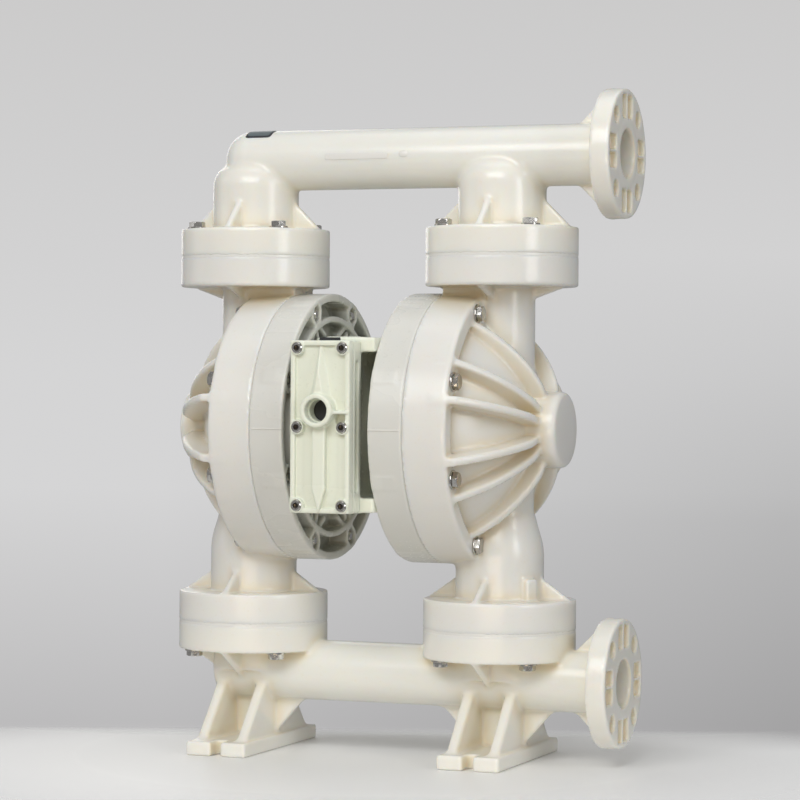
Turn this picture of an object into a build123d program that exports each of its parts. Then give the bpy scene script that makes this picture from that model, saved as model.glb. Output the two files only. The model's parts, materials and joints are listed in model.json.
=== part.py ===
"""Air operated double diaphragm pump with 2-inch flanges, moulded in natural polypropylene.

X runs along the diaphragm rod, -Y is the front with the air inlet, Z is up from the floor.
The origin lies on the floor, midway between the feet and under the middle of the rod.
Every size is in millimetres. The right half is modelled, and the left half is it turned
half a turn about Z, as the real pump uses the same mouldings on both sides.
"""
import os
from math import copysign, cos, radians, sin, sqrt

from build123d import *

# Main layout
SHAFT_Z = 394.3
RISER_X = 160.2
SUCTION_Z = 98.0
DISCHARGE_Z = 718.5
LOWER_SEAM_Z = 156.4
UPPER_SEAM_Z = 599.8

# Pipe flanges, class 150, two inches
FLANGE_FACE_X = 314.8
FLANGE_R = 76.2
FLANGE_THICK = 24.0
FLANGE_BOLT_R = 60.325
FLANGE_HOLE_R = 9.5
PIPE_R = 36.5
PIPE_BORE_R = 28.0
CORE_IN_R = 42.0
CORE_OUT_R = 69.0
CORE_DEPTH = 13.0
CORE_RIB_HALF = 2.0
CORE_WIDE = 13.0
CORE_TAPER = 3.5
FLANGE_CHAMFER = 4.0
FLANGE_GUSSET_LONG = 22.0
FLANGE_GUSSET_HIGH = 26.0

# Disc flanges at the four seams between chambers and manifolds
DISC_R = 90.9
CHAMBER_DISC_THICK = 36.4
MANIFOLD_DISC_THICK = 34.2
DISC_BOLT_R = 76.5
DISC_BOLT_DEPTH = 26.0
CAGE_BODY_R = 52.5
CAGE_TOP_Z = 258.0
CAGE_SHOULDER = 33.0
RISER_TOP_Z = 709.0
RISER_CHAMFER = 12.0
CAGE_ROOF = 3.0
ELBOW_STEP = 0.5
NECK_R = 40.0
SADDLE_WIDE = 60.0
SADDLE_SINK = 20.0

# Gussets between risers and discs: reach from the riser's axis, and height at the riser
GUSSET_THICK = 8.0
GUSSET_LIP = 3.0
MANIFOLD_GUSSET_R = 74.0
MANIFOLD_GUSSET_HIGH = 28.5
UPPER_GUSSET_R = 76.0
UPPER_GUSSET_HIGH = 15.0
LOWER_GUSSET_R = 87.0
LOWER_GUSSET_HIGH = 26.0

# Fasteners, M10 for the casings
BOLT_R = 5.0
HOLE_R = 5.25
THREAD_GAP = 0.05
HEAD_ACROSS_FLATS = 17.0
HEAD_HIGH = 6.4
WASHER_R = 11.5
WASHER_THICK = 2.0
NUT_HIGH = 8.0

# Clamp rings of liquid chamber and air chamber
RING_R = 161.4
RING_BOLT_MARGIN = 14.4
RING_BOLTS = 8
CLAMP_X = 95.9
RING_OUTER_X = 149.4
AIR_INNER_X = 53.5
BEAD_MARGIN = 14.0
BEAD_GAP = 0.2

# Ribbed dome of the liquid chamber
LIP_WIDE = 20.4
POCKET_DEEP_X = 133.0
BOLT_SEAT_WIDE = 28.0
SPOT_FACE_R = 13.0
HUB_R = 45.4
HUB_END_X = 243.9
HUB_CHAMFER = 7.0
DOME_STEPS = ((160.0, 22.0), (187.0, 52.0))
DOME_END_X = 204.0
RIB_THICK = 8.5
RIB_ANGLES = (13.0, 31.0, 61.0)
RIB_CREST_X = (29.0, 44.0, 66.0)
RIB_CREST_R = (207.5, 189.0, 167.0)
RIB_RIM_STEP = 1.0
CAVITY_MARGIN = 13.0
CAVITY_STRAIGHT_X = 120.0
CAVITY_STEPS = ((175.0, 35.0), (193.0, 80.0))
PAD_ANGLE = -30.0
PAD_WIDE = 17.0
PAD_OUT_R = 60.0

# Air chamber dish and webs
DISH_FLOOR_X = 60.0
DISH_FLOOR_R = 62.0
DISH_MARGIN = 14.0
RIM_WALL = 9.4
WEB_OUT_X = 80.0
WEB_IN_X = 56.0
WEB_IN_R = 68.0
WEB_RING_MARGIN = 23.0
WEB_RING_WIDE = 6.0
WEB_RING_SIDES = 24
WEB_THICK = 6.0
BRACE_LONG = 40.0
BRACE_LEAN = 38.0
NUT_BOSS_FLATS = 29.0
NUT_POCKET_DEPTH = 12.0
NUT_POCKET_FLATS = 19.0

# Ball check valves
BALL_R = 31.75
BALL_LIFT = 15.0
BALL_GAP = 0.1
SEAT_R = 44.0
SEAT_GAP = 0.2
SEAT_HALF = 8.0
SEAT_BORE_R = 23.6
SEAT_TOUCH_R = 26.0
CAGE_BORE_R = 39.0
CAGE_GUIDE_GAP = 1.2
CAGE_STOP_R = 18.0
CAGE_STOP_THICK = 9.0
CAGE_STOP_GAP = 0.3
CAGE_RIB_THICK = 8.0
CAGE_RIBS = 4
CAGE_BORE_TOP_GAP = 16.0

# Feet
FOOT_HALF_X = 38.5
FOOT_HALF_Y = 110.0
FOOT_THICK = 17.0
FOOT_SLOT_WIDE = 13.5
FOOT_SLOT_DEEP = 24.0
FOOT_RIB_THICK = 13.0
FOOT_RIB_SPACING = 52.0
FOOT_RIB_FRONT_Y = 97.0
FOOT_RIB_TOP_Y = 32.0
FOOT_WEB_REACH = 74.0
FOOT_WEB_THICK = 10.0
CLOSED_END_X = -200.0
CLOSED_END_CHAMFER = 9.0
CLOSED_END_WALL = 12.0

# Diaphragm, plates and rod
ROD_R = 15.0
ROD_GAP = 0.05
STROKE = 22.0
DIAPHRAGM_THICK = 5.0
PLATE_R = 56.0
INNER_PLATE_THICK = 8.0
OUTER_PLATE_THICK = 14.0
ROLL_IN_MARGIN = 8.0
ROLL_OUT_MARGIN = 21.0
ROLL_HIGH = 6.0
ROD_SOCKET = 7.0
BUSHING_WALL = 5.0
BUSHING_LONG = 22.0
PILOT_R = 6.0
PILOT_RISE = 36.0
PILOT_RATIO = 0.2
PILOT_END_GAP = 0.2

# Centre block and air valve
BLOCK_TOP_Z = 501.5
BLOCK_LOW_Z = 297.5
BLOCK_FRONT_Y = -139.0
BLOCK_BACK_Y = 125.0
BLOCK_PLATE_THICK = 11.0
BLOCK_WAIST_X = 34.0
BLOCK_FRONT_HALF_X = 48.0
BLOCK_HUB_R = 50.0
EXHAUST_R = 15.5
EXHAUST_DEEP = 26.0
VALVE_HALF_X = 37.0
VALVE_LOW_Z = 297.5
VALVE_TOP_Z = 497.3
VALVE_FRONT_Y = -175.2
COVER_THICK = 13.0
GASKET_THICK = 1.5
HOUSE_HALF_X = 22.5
HOUSE_BACK_Y = -101.0
HOUSE_INSET_Z = 12.0
SPOOL_AXIS_Y = -125.0
SLEEVE_R = 18.0
SPOOL_R = 13.5
SPOOL_GAP = 0.05
SPOOL_WAIST_R = 8.0
SPOOL_WAIST_LONG = 34.0
SPOOL_TRAVEL = 20.0
SPOOL_END_GAP = 0.3
CAP_THICK = 10.0
SCREW_X = 28.1
SCREW_MARGIN_Z = 8.7
SCREW_MID_RISE = 2.7
SCREW_R = 4.0
SCREW_HEAD_R = 6.5
SCREW_HEAD_HIGH = 8.0
SCREW_BOSS_R = 8.4
SCREW_BOSS_OUT = 2.5
SCREW_SINK = 7.0
SCREW_BITE = 11.0
PANEL_DEEP = 4.0
BORDER_WIDE = 7.0
INLET_RISE = 22.0
INLET_BOSS_R = 19.5
INLET_BOSS_OUT = 13.0
INLET_R = 12.1
INLET_DEEP = 18.0
INLET_PORT_R = 7.0
RIDGE_HALF_WIDE = 8.0
RIDGE_UP = 45.0
RIDGE_DOWN = 98.0
RIDGE_POINT = 26.0
RIB_BAR_HALF = 4.0

# Sizes that follow from the ones above
RING_BOLT_R = RING_R - RING_BOLT_MARGIN
BEAD_OUT_R = RING_BOLT_R - BEAD_MARGIN
POCKET_R = RING_R - LIP_WIDE
DOME_POINTS = [(x, POCKET_R - step) for x, step in DOME_STEPS] + [(DOME_END_X, HUB_R)]
CAVITY_MOUTH_R = BEAD_OUT_R - CAVITY_MARGIN
CAVITY_POINTS = [(x, CAVITY_MOUTH_R - step) for x, step in CAVITY_STEPS]
DISH_MOUTH_R = BEAD_OUT_R - DISH_MARGIN
RIM_IN_R = RING_R - RIM_WALL
WEB_RING_R = RING_BOLT_R - WEB_RING_MARGIN
BALL_RISE = sqrt(BALL_R**2 - SEAT_TOUCH_R**2)
SEAT_SLOPE = SEAT_TOUCH_R / BALL_RISE
ROLL_IN_R = PLATE_R + ROLL_IN_MARGIN
ROLL_OUT_R = BEAD_OUT_R - ROLL_OUT_MARGIN
INNER_PLATE_X = CLAMP_X - DIAPHRAGM_THICK
OUTER_PLATE_X = CLAMP_X
PILOT_END_X = INNER_PLATE_X - INNER_PLATE_THICK - STROKE + STROKE * PILOT_RATIO - PILOT_END_GAP
SEAT_CONE_R = 2 * SEAT_TOUCH_R - SEAT_BORE_R
SEAT_TOUCH_DROP = SEAT_SLOPE * (SEAT_CONE_R - SEAT_TOUCH_R)
BALL_OVER_SEAT = BALL_RISE + BALL_GAP - SEAT_TOUCH_DROP
STOP_OVER_SEAT = BALL_OVER_SEAT + BALL_LIFT + sqrt(BALL_R**2 - CAGE_STOP_R**2) + CAGE_STOP_GAP


def bar_x(radius, x0, x1, y=0.0, z=SHAFT_Z):
    """Round bar along X."""
    return Pos((x0 + x1) / 2, y, z) * Rot(0, 90, 0) * Cylinder(radius, abs(x1 - x0))


def bar_y(radius, y0, y1, x=0.0, z=SHAFT_Z):
    """Round bar along Y."""
    return Pos(x, (y0 + y1) / 2, z) * Rot(90, 0, 0) * Cylinder(radius, abs(y1 - y0))


def bar_z(radius, z0, z1, x=RISER_X, y=0.0):
    """Round bar along Z."""
    return Pos(x, y, (z0 + z1) / 2) * Cylinder(radius, abs(z1 - z0))


def block(x0, x1, y0, y1, z0, z1):
    """Box between two corners."""
    return Pos((x0 + x1) / 2, (y0 + y1) / 2, (z0 + z1) / 2) * Box(x1 - x0, y1 - y0, z1 - z0)


def hexagon_x(flats, x0, x1, y, z, turn=0.0):
    """Hexagonal bar along X."""
    outline = RegularPolygon(flats / 2, 6, major_radius=False, rotation=turn)
    return Pos(x0, y, z) * Rot(0, 90, 0) * extrude(outline, x1 - x0)


def turned_x(edges, z=SHAFT_Z):
    """Solid turned about an axis along X from edges drawn in X and radius."""
    return Pos(0, 0, z) * revolve(make_face(Plane.XZ * edges), Axis.X)


def left_of(shape):
    """The same piece on the left side of the pump."""
    return Rot(0, 0, 180) * shape


def around_shaft(angle, radius):
    """Y and Z of a point round the rod's axis, with the angle from the front upwards."""
    return -radius * cos(radians(angle)), SHAFT_Z + radius * sin(radians(angle))


def ring_angles():
    """Angles of the clamp ring's bolts."""
    step = 360 / RING_BOLTS
    return [step / 2 + step * i for i in range(RING_BOLTS)]


def disc_angles():
    """Angles of the manifold joint's bolts."""
    return [45 + 90 * i for i in range(4)]


def riser_gussets(body_r, tip_r, disc_z, high):
    """Four triangular gussets between a neck and its disc, upwards or downwards from the disc."""
    lip_z = disc_z + copysign(GUSSET_LIP, high)
    outline = make_face(
        Plane.XZ
        * Polyline(
            (body_r - GUSSET_THICK, disc_z), (tip_r, disc_z), (tip_r, lip_z),
            (body_r, disc_z + high), (body_r - GUSSET_THICK, disc_z + high), close=True,
        )
    )
    gusset = extrude(outline, GUSSET_THICK / 2, both=True)
    return [Pos(RISER_X, 0, 0) * Rot(0, 0, 90 * i) * gusset for i in range(4)]


def cage_ribs(seam_z):
    """Ribs that guide one ball and stop its lift."""
    low_z = seam_z + SEAT_HALF + SEAT_GAP
    stop_z = seam_z + SEAT_HALF + STOP_OVER_SEAT
    guide_r = BALL_R + CAGE_GUIDE_GAP
    wall_r = CAGE_BORE_R + 1
    top_z = stop_z + CAGE_STOP_THICK
    outline = make_face(
        Plane.XZ
        * Polyline(
            (wall_r, low_z), (guide_r, low_z), (guide_r, stop_z), (CAGE_STOP_R, stop_z),
            (CAGE_STOP_R, top_z), (wall_r, top_z), close=True,
        )
    )
    rib = extrude(outline, CAGE_RIB_THICK / 2, both=True)
    turns = [45 + 360 / CAGE_RIBS * i for i in range(CAGE_RIBS)]
    return [Pos(RISER_X, 0, 0) * Rot(0, 0, turn) * rib for turn in turns]


def seat_pocket(seam_z):
    """Counterbore for a valve seat across a seam."""
    return bar_z(SEAT_R + SEAT_GAP, seam_z - SEAT_HALF, seam_z + SEAT_HALF + SEAT_GAP)


def chamber_bolt_holes():
    """Clearance holes for the clamp ring's bolts."""
    holes = []
    for angle in ring_angles():
        y, z = around_shaft(angle, RING_BOLT_R)
        holes.append(bar_x(HOLE_R, AIR_INNER_X - 1, RING_OUTER_X + 1, y, z))
    return holes


def disc_bolts(z0, z1, radius):
    """Four bars round a riser, for a manifold joint's bolts or holes."""
    bars = []
    for angle in disc_angles():
        x = RISER_X + DISC_BOLT_R * cos(radians(angle))
        bars.append(bar_z(radius, z0, z1, x, DISC_BOLT_R * sin(radians(angle))))
    return bars


def dome_ribs(angle, crest_x, crest_r):
    """Four ribs from clamp ring to hub, each in a plane through the rod's axis, with a round crest."""
    half, rim_r = RIB_THICK / 2, RING_R - RIB_RIM_STEP
    crest = Pos(crest_x, 0, 0) * Rot(90, 0, 0) * Cylinder(crest_r, 2 * RIB_THICK)
    rib = block(RING_OUTER_X - RIB_THICK / 2, HUB_END_X, -half, half, HUB_R / 2, rim_r) & crest
    turns = (90 - angle, 90 + angle, angle - 90, -90 - angle)
    return [Pos(0, 0, SHAFT_Z) * Rot(turn, 0, 0) * rib for turn in turns]


def upper_neck():
    """Neck and disc that carry the discharge manifold, and the saddle that joins them to the clamp ring."""
    disc_low = UPPER_SEAM_Z - CHAMBER_DISC_THICK
    half = SADDLE_WIDE / 2
    saddle = block(CLAMP_X, RISER_X, -half, half, SHAFT_Z + RING_R - SADDLE_SINK, disc_low + 1)
    pieces = [bar_z(NECK_R, SHAFT_Z, disc_low + 1), bar_z(DISC_R, disc_low, UPPER_SEAM_Z), saddle]
    return pieces + riser_gussets(NECK_R, UPPER_GUSSET_R, disc_low, -UPPER_GUSSET_HIGH)


def lower_neck():
    """Neck with the suction ball's cage, its shoulder and disc, and a small moulded pad."""
    disc_top = LOWER_SEAM_Z + CHAMBER_DISC_THICK
    shoulder = Cone(CAGE_BODY_R, NECK_R, CAGE_SHOULDER)
    pad = block(NECK_R, PAD_OUT_R, -PAD_WIDE / 2, PAD_WIDE / 2, disc_top - 1, disc_top + LOWER_GUSSET_HIGH)
    pieces = [
        bar_z(DISC_R, LOWER_SEAM_Z, disc_top),
        bar_z(CAGE_BODY_R, LOWER_SEAM_Z, CAGE_TOP_Z),
        Pos(RISER_X, 0, CAGE_TOP_Z + CAGE_SHOULDER / 2) * shoulder,
        bar_z(NECK_R, CAGE_TOP_Z, SHAFT_Z),
        Pos(RISER_X, 0, 0) * Rot(0, 0, PAD_ANGLE) * pad,
    ]
    return pieces + riser_gussets(CAGE_BODY_R, LOWER_GUSSET_R, disc_top, LOWER_GUSSET_HIGH)


def liquid_chamber():
    """Right liquid chamber: clamp ring, ribbed dome, hub, two necks and their discs."""
    hub_side = (HUB_END_X - HUB_CHAMFER, HUB_R)
    hub_face = (HUB_END_X, HUB_R - HUB_CHAMFER)
    outside = turned_x(
        Polyline(
            (CLAMP_X, 0), (CLAMP_X, RING_R), (RING_OUTER_X, RING_R), (RING_OUTER_X, POCKET_R),
            (POCKET_DEEP_X, POCKET_R - 1), *DOME_POINTS, hub_side, hub_face, (HUB_END_X, 0), close=True,
        )
    )
    ribs = []
    for angle, crest_x, crest_r in zip(RIB_ANGLES, RIB_CREST_X, RIB_CREST_R):
        ribs += dome_ribs(angle, crest_x, crest_r)
    seat = block(POCKET_DEEP_X - 10, RING_OUTER_X, -BOLT_SEAT_WIDE / 2, BOLT_SEAT_WIDE / 2,
                 RING_BOLT_R - SPOT_FACE_R - 1, RING_BOLT_R)
    seats = [Pos(0, 0, SHAFT_Z) * Rot(90 - angle, 0, 0) * seat for angle in ring_angles()]
    body = outside + (ribs + seats + upper_neck() + lower_neck())
    cavity = turned_x(
        Polyline(
            (CLAMP_X - 1, 0), (CLAMP_X - 1, CAVITY_MOUTH_R), (CAVITY_STRAIGHT_X, CAVITY_MOUTH_R),
            *CAVITY_POINTS, (CAVITY_POINTS[-1][0], 0), close=True,
        )
    )
    cuts = [cavity, bar_x(RING_R + 0.5, 0, CLAMP_X)] + chamber_bolt_holes()
    for angle in ring_angles():
        y, z = around_shaft(angle, RING_BOLT_R)
        cuts.append(bar_x(SPOT_FACE_R, RING_OUTER_X, RING_OUTER_X + 3 * HEAD_HIGH, y, z))
    cuts += [
        bar_z(PIPE_BORE_R, LOWER_SEAM_Z, UPPER_SEAM_Z + 1),
        bar_z(CAGE_BORE_R, LOWER_SEAM_Z, CAGE_TOP_Z - CAGE_BORE_TOP_GAP),
        seat_pocket(LOWER_SEAM_Z),
        seat_pocket(UPPER_SEAM_Z),
    ]
    thread_r = BOLT_R + THREAD_GAP
    cuts += disc_bolts(UPPER_SEAM_Z - DISC_BOLT_DEPTH - 2, UPPER_SEAM_Z + 1, thread_r)
    cuts += disc_bolts(LOWER_SEAM_Z - 1, LOWER_SEAM_Z + DISC_BOLT_DEPTH + 2, thread_r)
    return (body - cuts) + cage_ribs(LOWER_SEAM_Z)


def nut_boss_webs(angle):
    """Boss, spoke and two braces of one clamp ring bolt on the air chamber's inner side."""
    y, z = around_shaft(angle, RING_BOLT_R)
    boss = hexagon_x(NUT_BOSS_FLATS, AIR_INNER_X, WEB_OUT_X + 2, y, z, angle)
    half = WEB_THICK / 2
    spoke = block(AIR_INNER_X, DISH_FLOOR_X + 8, -half, half, WEB_IN_R - 2, WEB_RING_R)
    brace = block(AIR_INNER_X, WEB_OUT_X - 4, -half, half, -BRACE_LONG, 0)
    pieces = [spoke]
    for lean in (-BRACE_LEAN, BRACE_LEAN):
        pieces.append(Pos(0, 0, RING_BOLT_R - NUT_BOSS_FLATS / 4) * Rot(lean, 0, 0) * brace)
    return [boss] + [Pos(0, 0, SHAFT_Z) * Rot(90 - angle, 0, 0) * piece for piece in pieces]


def air_chamber():
    """Right air chamber: dish for the diaphragm outside, rim, webs and nut bosses inside."""
    shell = turned_x(
        Polyline(
            (CLAMP_X, BEAD_OUT_R), (CLAMP_X, RING_R), (AIR_INNER_X, RING_R), (AIR_INNER_X, RIM_IN_R),
            (WEB_OUT_X, RIM_IN_R), (WEB_IN_X, WEB_IN_R), (AIR_INNER_X, WEB_IN_R), (AIR_INNER_X, 0),
            (DISH_FLOOR_X, 0), (DISH_FLOOR_X, DISH_FLOOR_R), (INNER_PLATE_X, DISH_MOUTH_R),
            (INNER_PLATE_X, BEAD_OUT_R), close=True,
        )
    )
    outline = RegularPolygon(WEB_RING_R + WEB_RING_WIDE / 2, WEB_RING_SIDES) - RegularPolygon(
        WEB_RING_R - WEB_RING_WIDE / 2, WEB_RING_SIDES
    )
    webs = [Pos(AIR_INNER_X, 0, SHAFT_Z) * Rot(0, 90, 0) * extrude(outline, WEB_OUT_X - AIR_INNER_X - 6)]
    for angle in ring_angles():
        webs += nut_boss_webs(angle)
    dish = turned_x(
        Polyline(
            (CLAMP_X + 1, 0), (CLAMP_X + 1, BEAD_OUT_R), (INNER_PLATE_X, BEAD_OUT_R),
            (INNER_PLATE_X, DISH_MOUTH_R), (DISH_FLOOR_X, DISH_FLOOR_R), (DISH_FLOOR_X, 0), close=True,
        )
    )
    cuts = [dish] + chamber_bolt_holes()
    for angle in ring_angles():
        y, z = around_shaft(angle, RING_BOLT_R)
        pocket_end = AIR_INNER_X + NUT_POCKET_DEPTH
        cuts.append(hexagon_x(NUT_POCKET_FLATS, AIR_INNER_X - 1, pocket_end, y, z, angle))
    cuts.append(bar_x(ROD_R + ROD_GAP, AIR_INNER_X - 1, DISH_FLOOR_X + 1))
    cuts.append(bar_x(PILOT_R + ROD_GAP, AIR_INNER_X - 1, DISH_FLOOR_X + 1, z=SHAFT_Z + PILOT_RISE))
    return (shell + webs) - cuts


def chamber_bolts():
    """Hexagon bolts through one liquid chamber and air chamber."""
    bolts = []
    seat = RING_OUTER_X + WASHER_THICK
    for angle in ring_angles():
        y, z = around_shaft(angle, RING_BOLT_R)
        head = hexagon_x(HEAD_ACROSS_FLATS, seat, seat + HEAD_HIGH, y, z, angle)
        bolts.append(head + bar_x(BOLT_R, AIR_INNER_X + 1, seat, y, z))
    return bolts


def chamber_washers():
    """Washers under the clamp ring's bolt heads."""
    washers = []
    for angle in ring_angles():
        y, z = around_shaft(angle, RING_BOLT_R)
        disc = bar_x(WASHER_R, RING_OUTER_X, RING_OUTER_X + WASHER_THICK, y, z)
        washers.append(disc - bar_x(HOLE_R, RING_OUTER_X - 1, RING_OUTER_X + WASHER_THICK + 1, y, z))
    return washers


def chamber_nuts():
    """Nuts in the hexagon pockets of one air chamber."""
    nuts = []
    seat = AIR_INNER_X + NUT_POCKET_DEPTH
    for angle in ring_angles():
        y, z = around_shaft(angle, RING_BOLT_R)
        nut = hexagon_x(HEAD_ACROSS_FLATS, seat - NUT_HIGH, seat, y, z, angle)
        nuts.append(nut - bar_x(BOLT_R + THREAD_GAP, seat - NUT_HIGH - 1, seat + 1, y, z))
    return nuts


def joint_bolts(face_z, up):
    """Bolts of one manifold joint: head outside the manifold disc, thread in the chamber disc."""
    bolts = []
    tip_z = face_z - up * (MANIFOLD_DISC_THICK + DISC_BOLT_DEPTH)
    seat = face_z + up * WASHER_THICK
    for angle in disc_angles():
        x = RISER_X + DISC_BOLT_R * cos(radians(angle))
        y = DISC_BOLT_R * sin(radians(angle))
        head = extrude(RegularPolygon(HEAD_ACROSS_FLATS / 2, 6, major_radius=False), up * HEAD_HIGH)
        bolts.append(Pos(x, y, seat) * head + bar_z(BOLT_R, tip_z, seat, x, y))
    return bolts


def joint_washers(face_z, up):
    """Washers of one manifold joint."""
    discs = disc_bolts(face_z, face_z + up * WASHER_THICK, WASHER_R)
    holes = disc_bolts(face_z - up, face_z + up * (WASHER_THICK + 1), HOLE_R)
    return [disc - hole for disc, hole in zip(discs, holes)]


def pipe_flange(z):
    """Drilled pipe flange at the right end, with its two gussets."""
    back_x = FLANGE_FACE_X - FLANGE_THICK
    disc = bar_x(FLANGE_R, back_x, FLANGE_FACE_X, 0, z)
    disc = chamfer(disc.edges().group_by(Axis.X)[0], FLANGE_CHAMFER)
    outline = make_face(
        Plane.XZ
        * Polyline((back_x - FLANGE_GUSSET_LONG, z), (back_x - FLANGE_GUSSET_LONG, z + PIPE_R),
                   (back_x + 1, z + PIPE_R + FLANGE_GUSSET_HIGH), (back_x + 1, z), close=True)
    )
    gusset = extrude(outline, GUSSET_THICK / 2, both=True)
    return [disc, gusset, Pos(0, 0, 2 * z) * Rot(180, 0, 0) * gusset]


def flange_cuts(z):
    """Bolt holes and moulded core pockets in a pipe flange."""
    cuts = []
    for angle in disc_angles():
        y, dz = FLANGE_BOLT_R * cos(radians(angle)), FLANGE_BOLT_R * sin(radians(angle))
        cuts.append(bar_x(FLANGE_HOLE_R, FLANGE_FACE_X - 2 * FLANGE_THICK, FLANGE_FACE_X + 1, y, z + dz))
    low, high = CORE_RIB_HALF, CORE_RIB_HALF + CORE_WIDE
    outline = Polyline((CORE_IN_R, low), (CORE_OUT_R, low), (CORE_OUT_R - CORE_TAPER, high),
                       (CORE_IN_R + CORE_TAPER, high - CORE_TAPER), close=True)
    core = extrude(make_face(outline), CORE_DEPTH + 1)
    floor = Pos(FLANGE_FACE_X - CORE_DEPTH, 0, z) * Rot(0, 90, 0)
    for quarter in range(4):
        for pocket in (core, Rot(180, 0, 0) * Pos(0, 0, -CORE_DEPTH - 1) * core):
            cuts.append(floor * Rot(0, 0, 90 * quarter) * pocket)
    return cuts


def discharge_manifold():
    """Elbow and tee risers, horizontal pipe and flange on top of the pump."""
    disc_top = UPPER_SEAM_Z + MANIFOLD_DISC_THICK
    riser = bar_z(CAGE_BODY_R, UPPER_SEAM_Z, RISER_TOP_Z)
    riser = chamfer(riser.edges().group_by(Axis.Z)[-1], RISER_CHAMFER)
    half = [bar_z(DISC_R, UPPER_SEAM_Z, disc_top), riser]
    half += riser_gussets(CAGE_BODY_R, MANIFOLD_GUSSET_R, disc_top, MANIFOLD_GUSSET_HIGH)
    pipe_end = FLANGE_FACE_X - 4
    diagonal = PIPE_R * cos(radians(45))
    turn = ThreePointArc((-RISER_X - PIPE_R, 0), (-RISER_X - diagonal, diagonal), (-RISER_X, PIPE_R))
    straight = Polyline((-RISER_X, PIPE_R), (pipe_end, PIPE_R), (pipe_end, 0), (-RISER_X - PIPE_R, 0))
    pipe = turned_x(turn + straight, DISCHARGE_Z)
    elbow = bar_z(PIPE_R - ELBOW_STEP, RISER_TOP_Z - RISER_CHAMFER, DISCHARGE_Z, -RISER_X)
    body = pipe + ([elbow] + half + [left_of(piece) for piece in half] + pipe_flange(DISCHARGE_Z))
    cage_top = DISCHARGE_Z - PIPE_BORE_R - CAGE_ROOF
    core = [bar_z(CAGE_BORE_R, UPPER_SEAM_Z - 1, cage_top), bar_z(PIPE_BORE_R - 1, cage_top, DISCHARGE_Z)]
    core += [seat_pocket(UPPER_SEAM_Z)] + disc_bolts(UPPER_SEAM_Z - 1, disc_top + 1, HOLE_R)
    cuts = core + [left_of(piece) for piece in core] + flange_cuts(DISCHARGE_Z)
    cuts += [bar_x(PIPE_BORE_R, -RISER_X - PIPE_BORE_R + 8, FLANGE_FACE_X + 1, 0, DISCHARGE_Z)]
    ribs = cage_ribs(UPPER_SEAM_Z)
    return (body - cuts) + (ribs + [left_of(rib) for rib in ribs])


def foot():
    """One foot under a suction riser: slotted base, two side ribs and a central web."""
    base = block(-FOOT_HALF_X, FOOT_HALF_X, -FOOT_HALF_Y, FOOT_HALF_Y, 0, FOOT_THICK)
    for end in (-1, 1):
        inner_y = end * (FOOT_HALF_Y - FOOT_SLOT_DEEP + FOOT_SLOT_WIDE / 2)
        slot = Box(FOOT_SLOT_WIDE, 2 * FOOT_SLOT_DEEP, 3 * FOOT_THICK)
        base -= Pos(0, inner_y, 0) * Cylinder(FOOT_SLOT_WIDE / 2, 3 * FOOT_THICK)
        base -= Pos(0, inner_y + end * FOOT_SLOT_DEEP, 0) * slot
    low_z, top_z = FOOT_THICK - 2, SUCTION_Z - 10
    rib_outline = make_face(
        Plane.YZ
        * Polyline((-FOOT_RIB_FRONT_Y, low_z), (-FOOT_RIB_TOP_Y, top_z), (FOOT_RIB_TOP_Y, top_z),
                   (FOOT_RIB_FRONT_Y, low_z), close=True)
    )
    rib = extrude(rib_outline, FOOT_RIB_THICK / 2, both=True)
    side_x, side_z = FOOT_HALF_X - 2, FOOT_THICK + 8
    pipe_z = SUCTION_Z - PIPE_R + 6
    web_outline = make_face(
        Plane.XZ
        * Polyline((-side_x, low_z), (-side_x, side_z), (-FOOT_WEB_REACH, pipe_z), (FOOT_WEB_REACH, pipe_z),
                   (side_x, side_z), (side_x, low_z), close=True)
    )
    web = extrude(web_outline, FOOT_WEB_THICK / 2, both=True)
    rib_x = FOOT_RIB_SPACING / 2
    pieces = (base, Pos(rib_x, 0, 0) * rib, Pos(-rib_x, 0, 0) * rib, web)
    return [Pos(RISER_X, 0, 0) * piece for piece in pieces]


def suction_manifold():
    """Pipe, flange, two discs and two feet at the bottom of the pump."""
    disc_low = LOWER_SEAM_Z - MANIFOLD_DISC_THICK
    half = [bar_z(DISC_R, disc_low, LOWER_SEAM_Z), bar_z(CAGE_BODY_R, SUCTION_Z, disc_low)]
    half += riser_gussets(CAGE_BODY_R, LOWER_GUSSET_R, disc_low, -LOWER_GUSSET_HIGH) + foot()
    pipe = bar_x(PIPE_R, CLOSED_END_X, FLANGE_FACE_X - 4, 0, SUCTION_Z)
    pipe = chamfer(pipe.edges().group_by(Axis.X)[0], CLOSED_END_CHAMFER)
    body = pipe + (half + [left_of(piece) for piece in half] + pipe_flange(SUCTION_Z))
    core = [bar_z(PIPE_BORE_R - 1, SUCTION_Z, LOWER_SEAM_Z + 1), seat_pocket(LOWER_SEAM_Z)]
    core += disc_bolts(disc_low - 2, LOWER_SEAM_Z + 1, HOLE_R)
    cuts = core + [left_of(piece) for piece in core] + flange_cuts(SUCTION_Z)
    cuts += [bar_x(PIPE_BORE_R, CLOSED_END_X + CLOSED_END_WALL, FLANGE_FACE_X + 1, 0, SUCTION_Z)]
    return body - cuts


def seat(seam_z):
    """Ring with a conical face that one ball closes."""
    low_z, top_z = seam_z - SEAT_HALF, seam_z + SEAT_HALF
    depth = SEAT_SLOPE * (SEAT_CONE_R - SEAT_BORE_R)
    cone = Pos(RISER_X, 0, top_z - depth / 2) * Cone(SEAT_BORE_R, SEAT_CONE_R, depth)
    return bar_z(SEAT_R, low_z, top_z) - [bar_z(SEAT_BORE_R, low_z - 1, top_z + 1), cone]


def ball(seam_z):
    """Ball that rests on a seat's cone."""
    return Pos(RISER_X, 0, seam_z + SEAT_HALF + BALL_OVER_SEAT) * Sphere(BALL_R)


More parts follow.
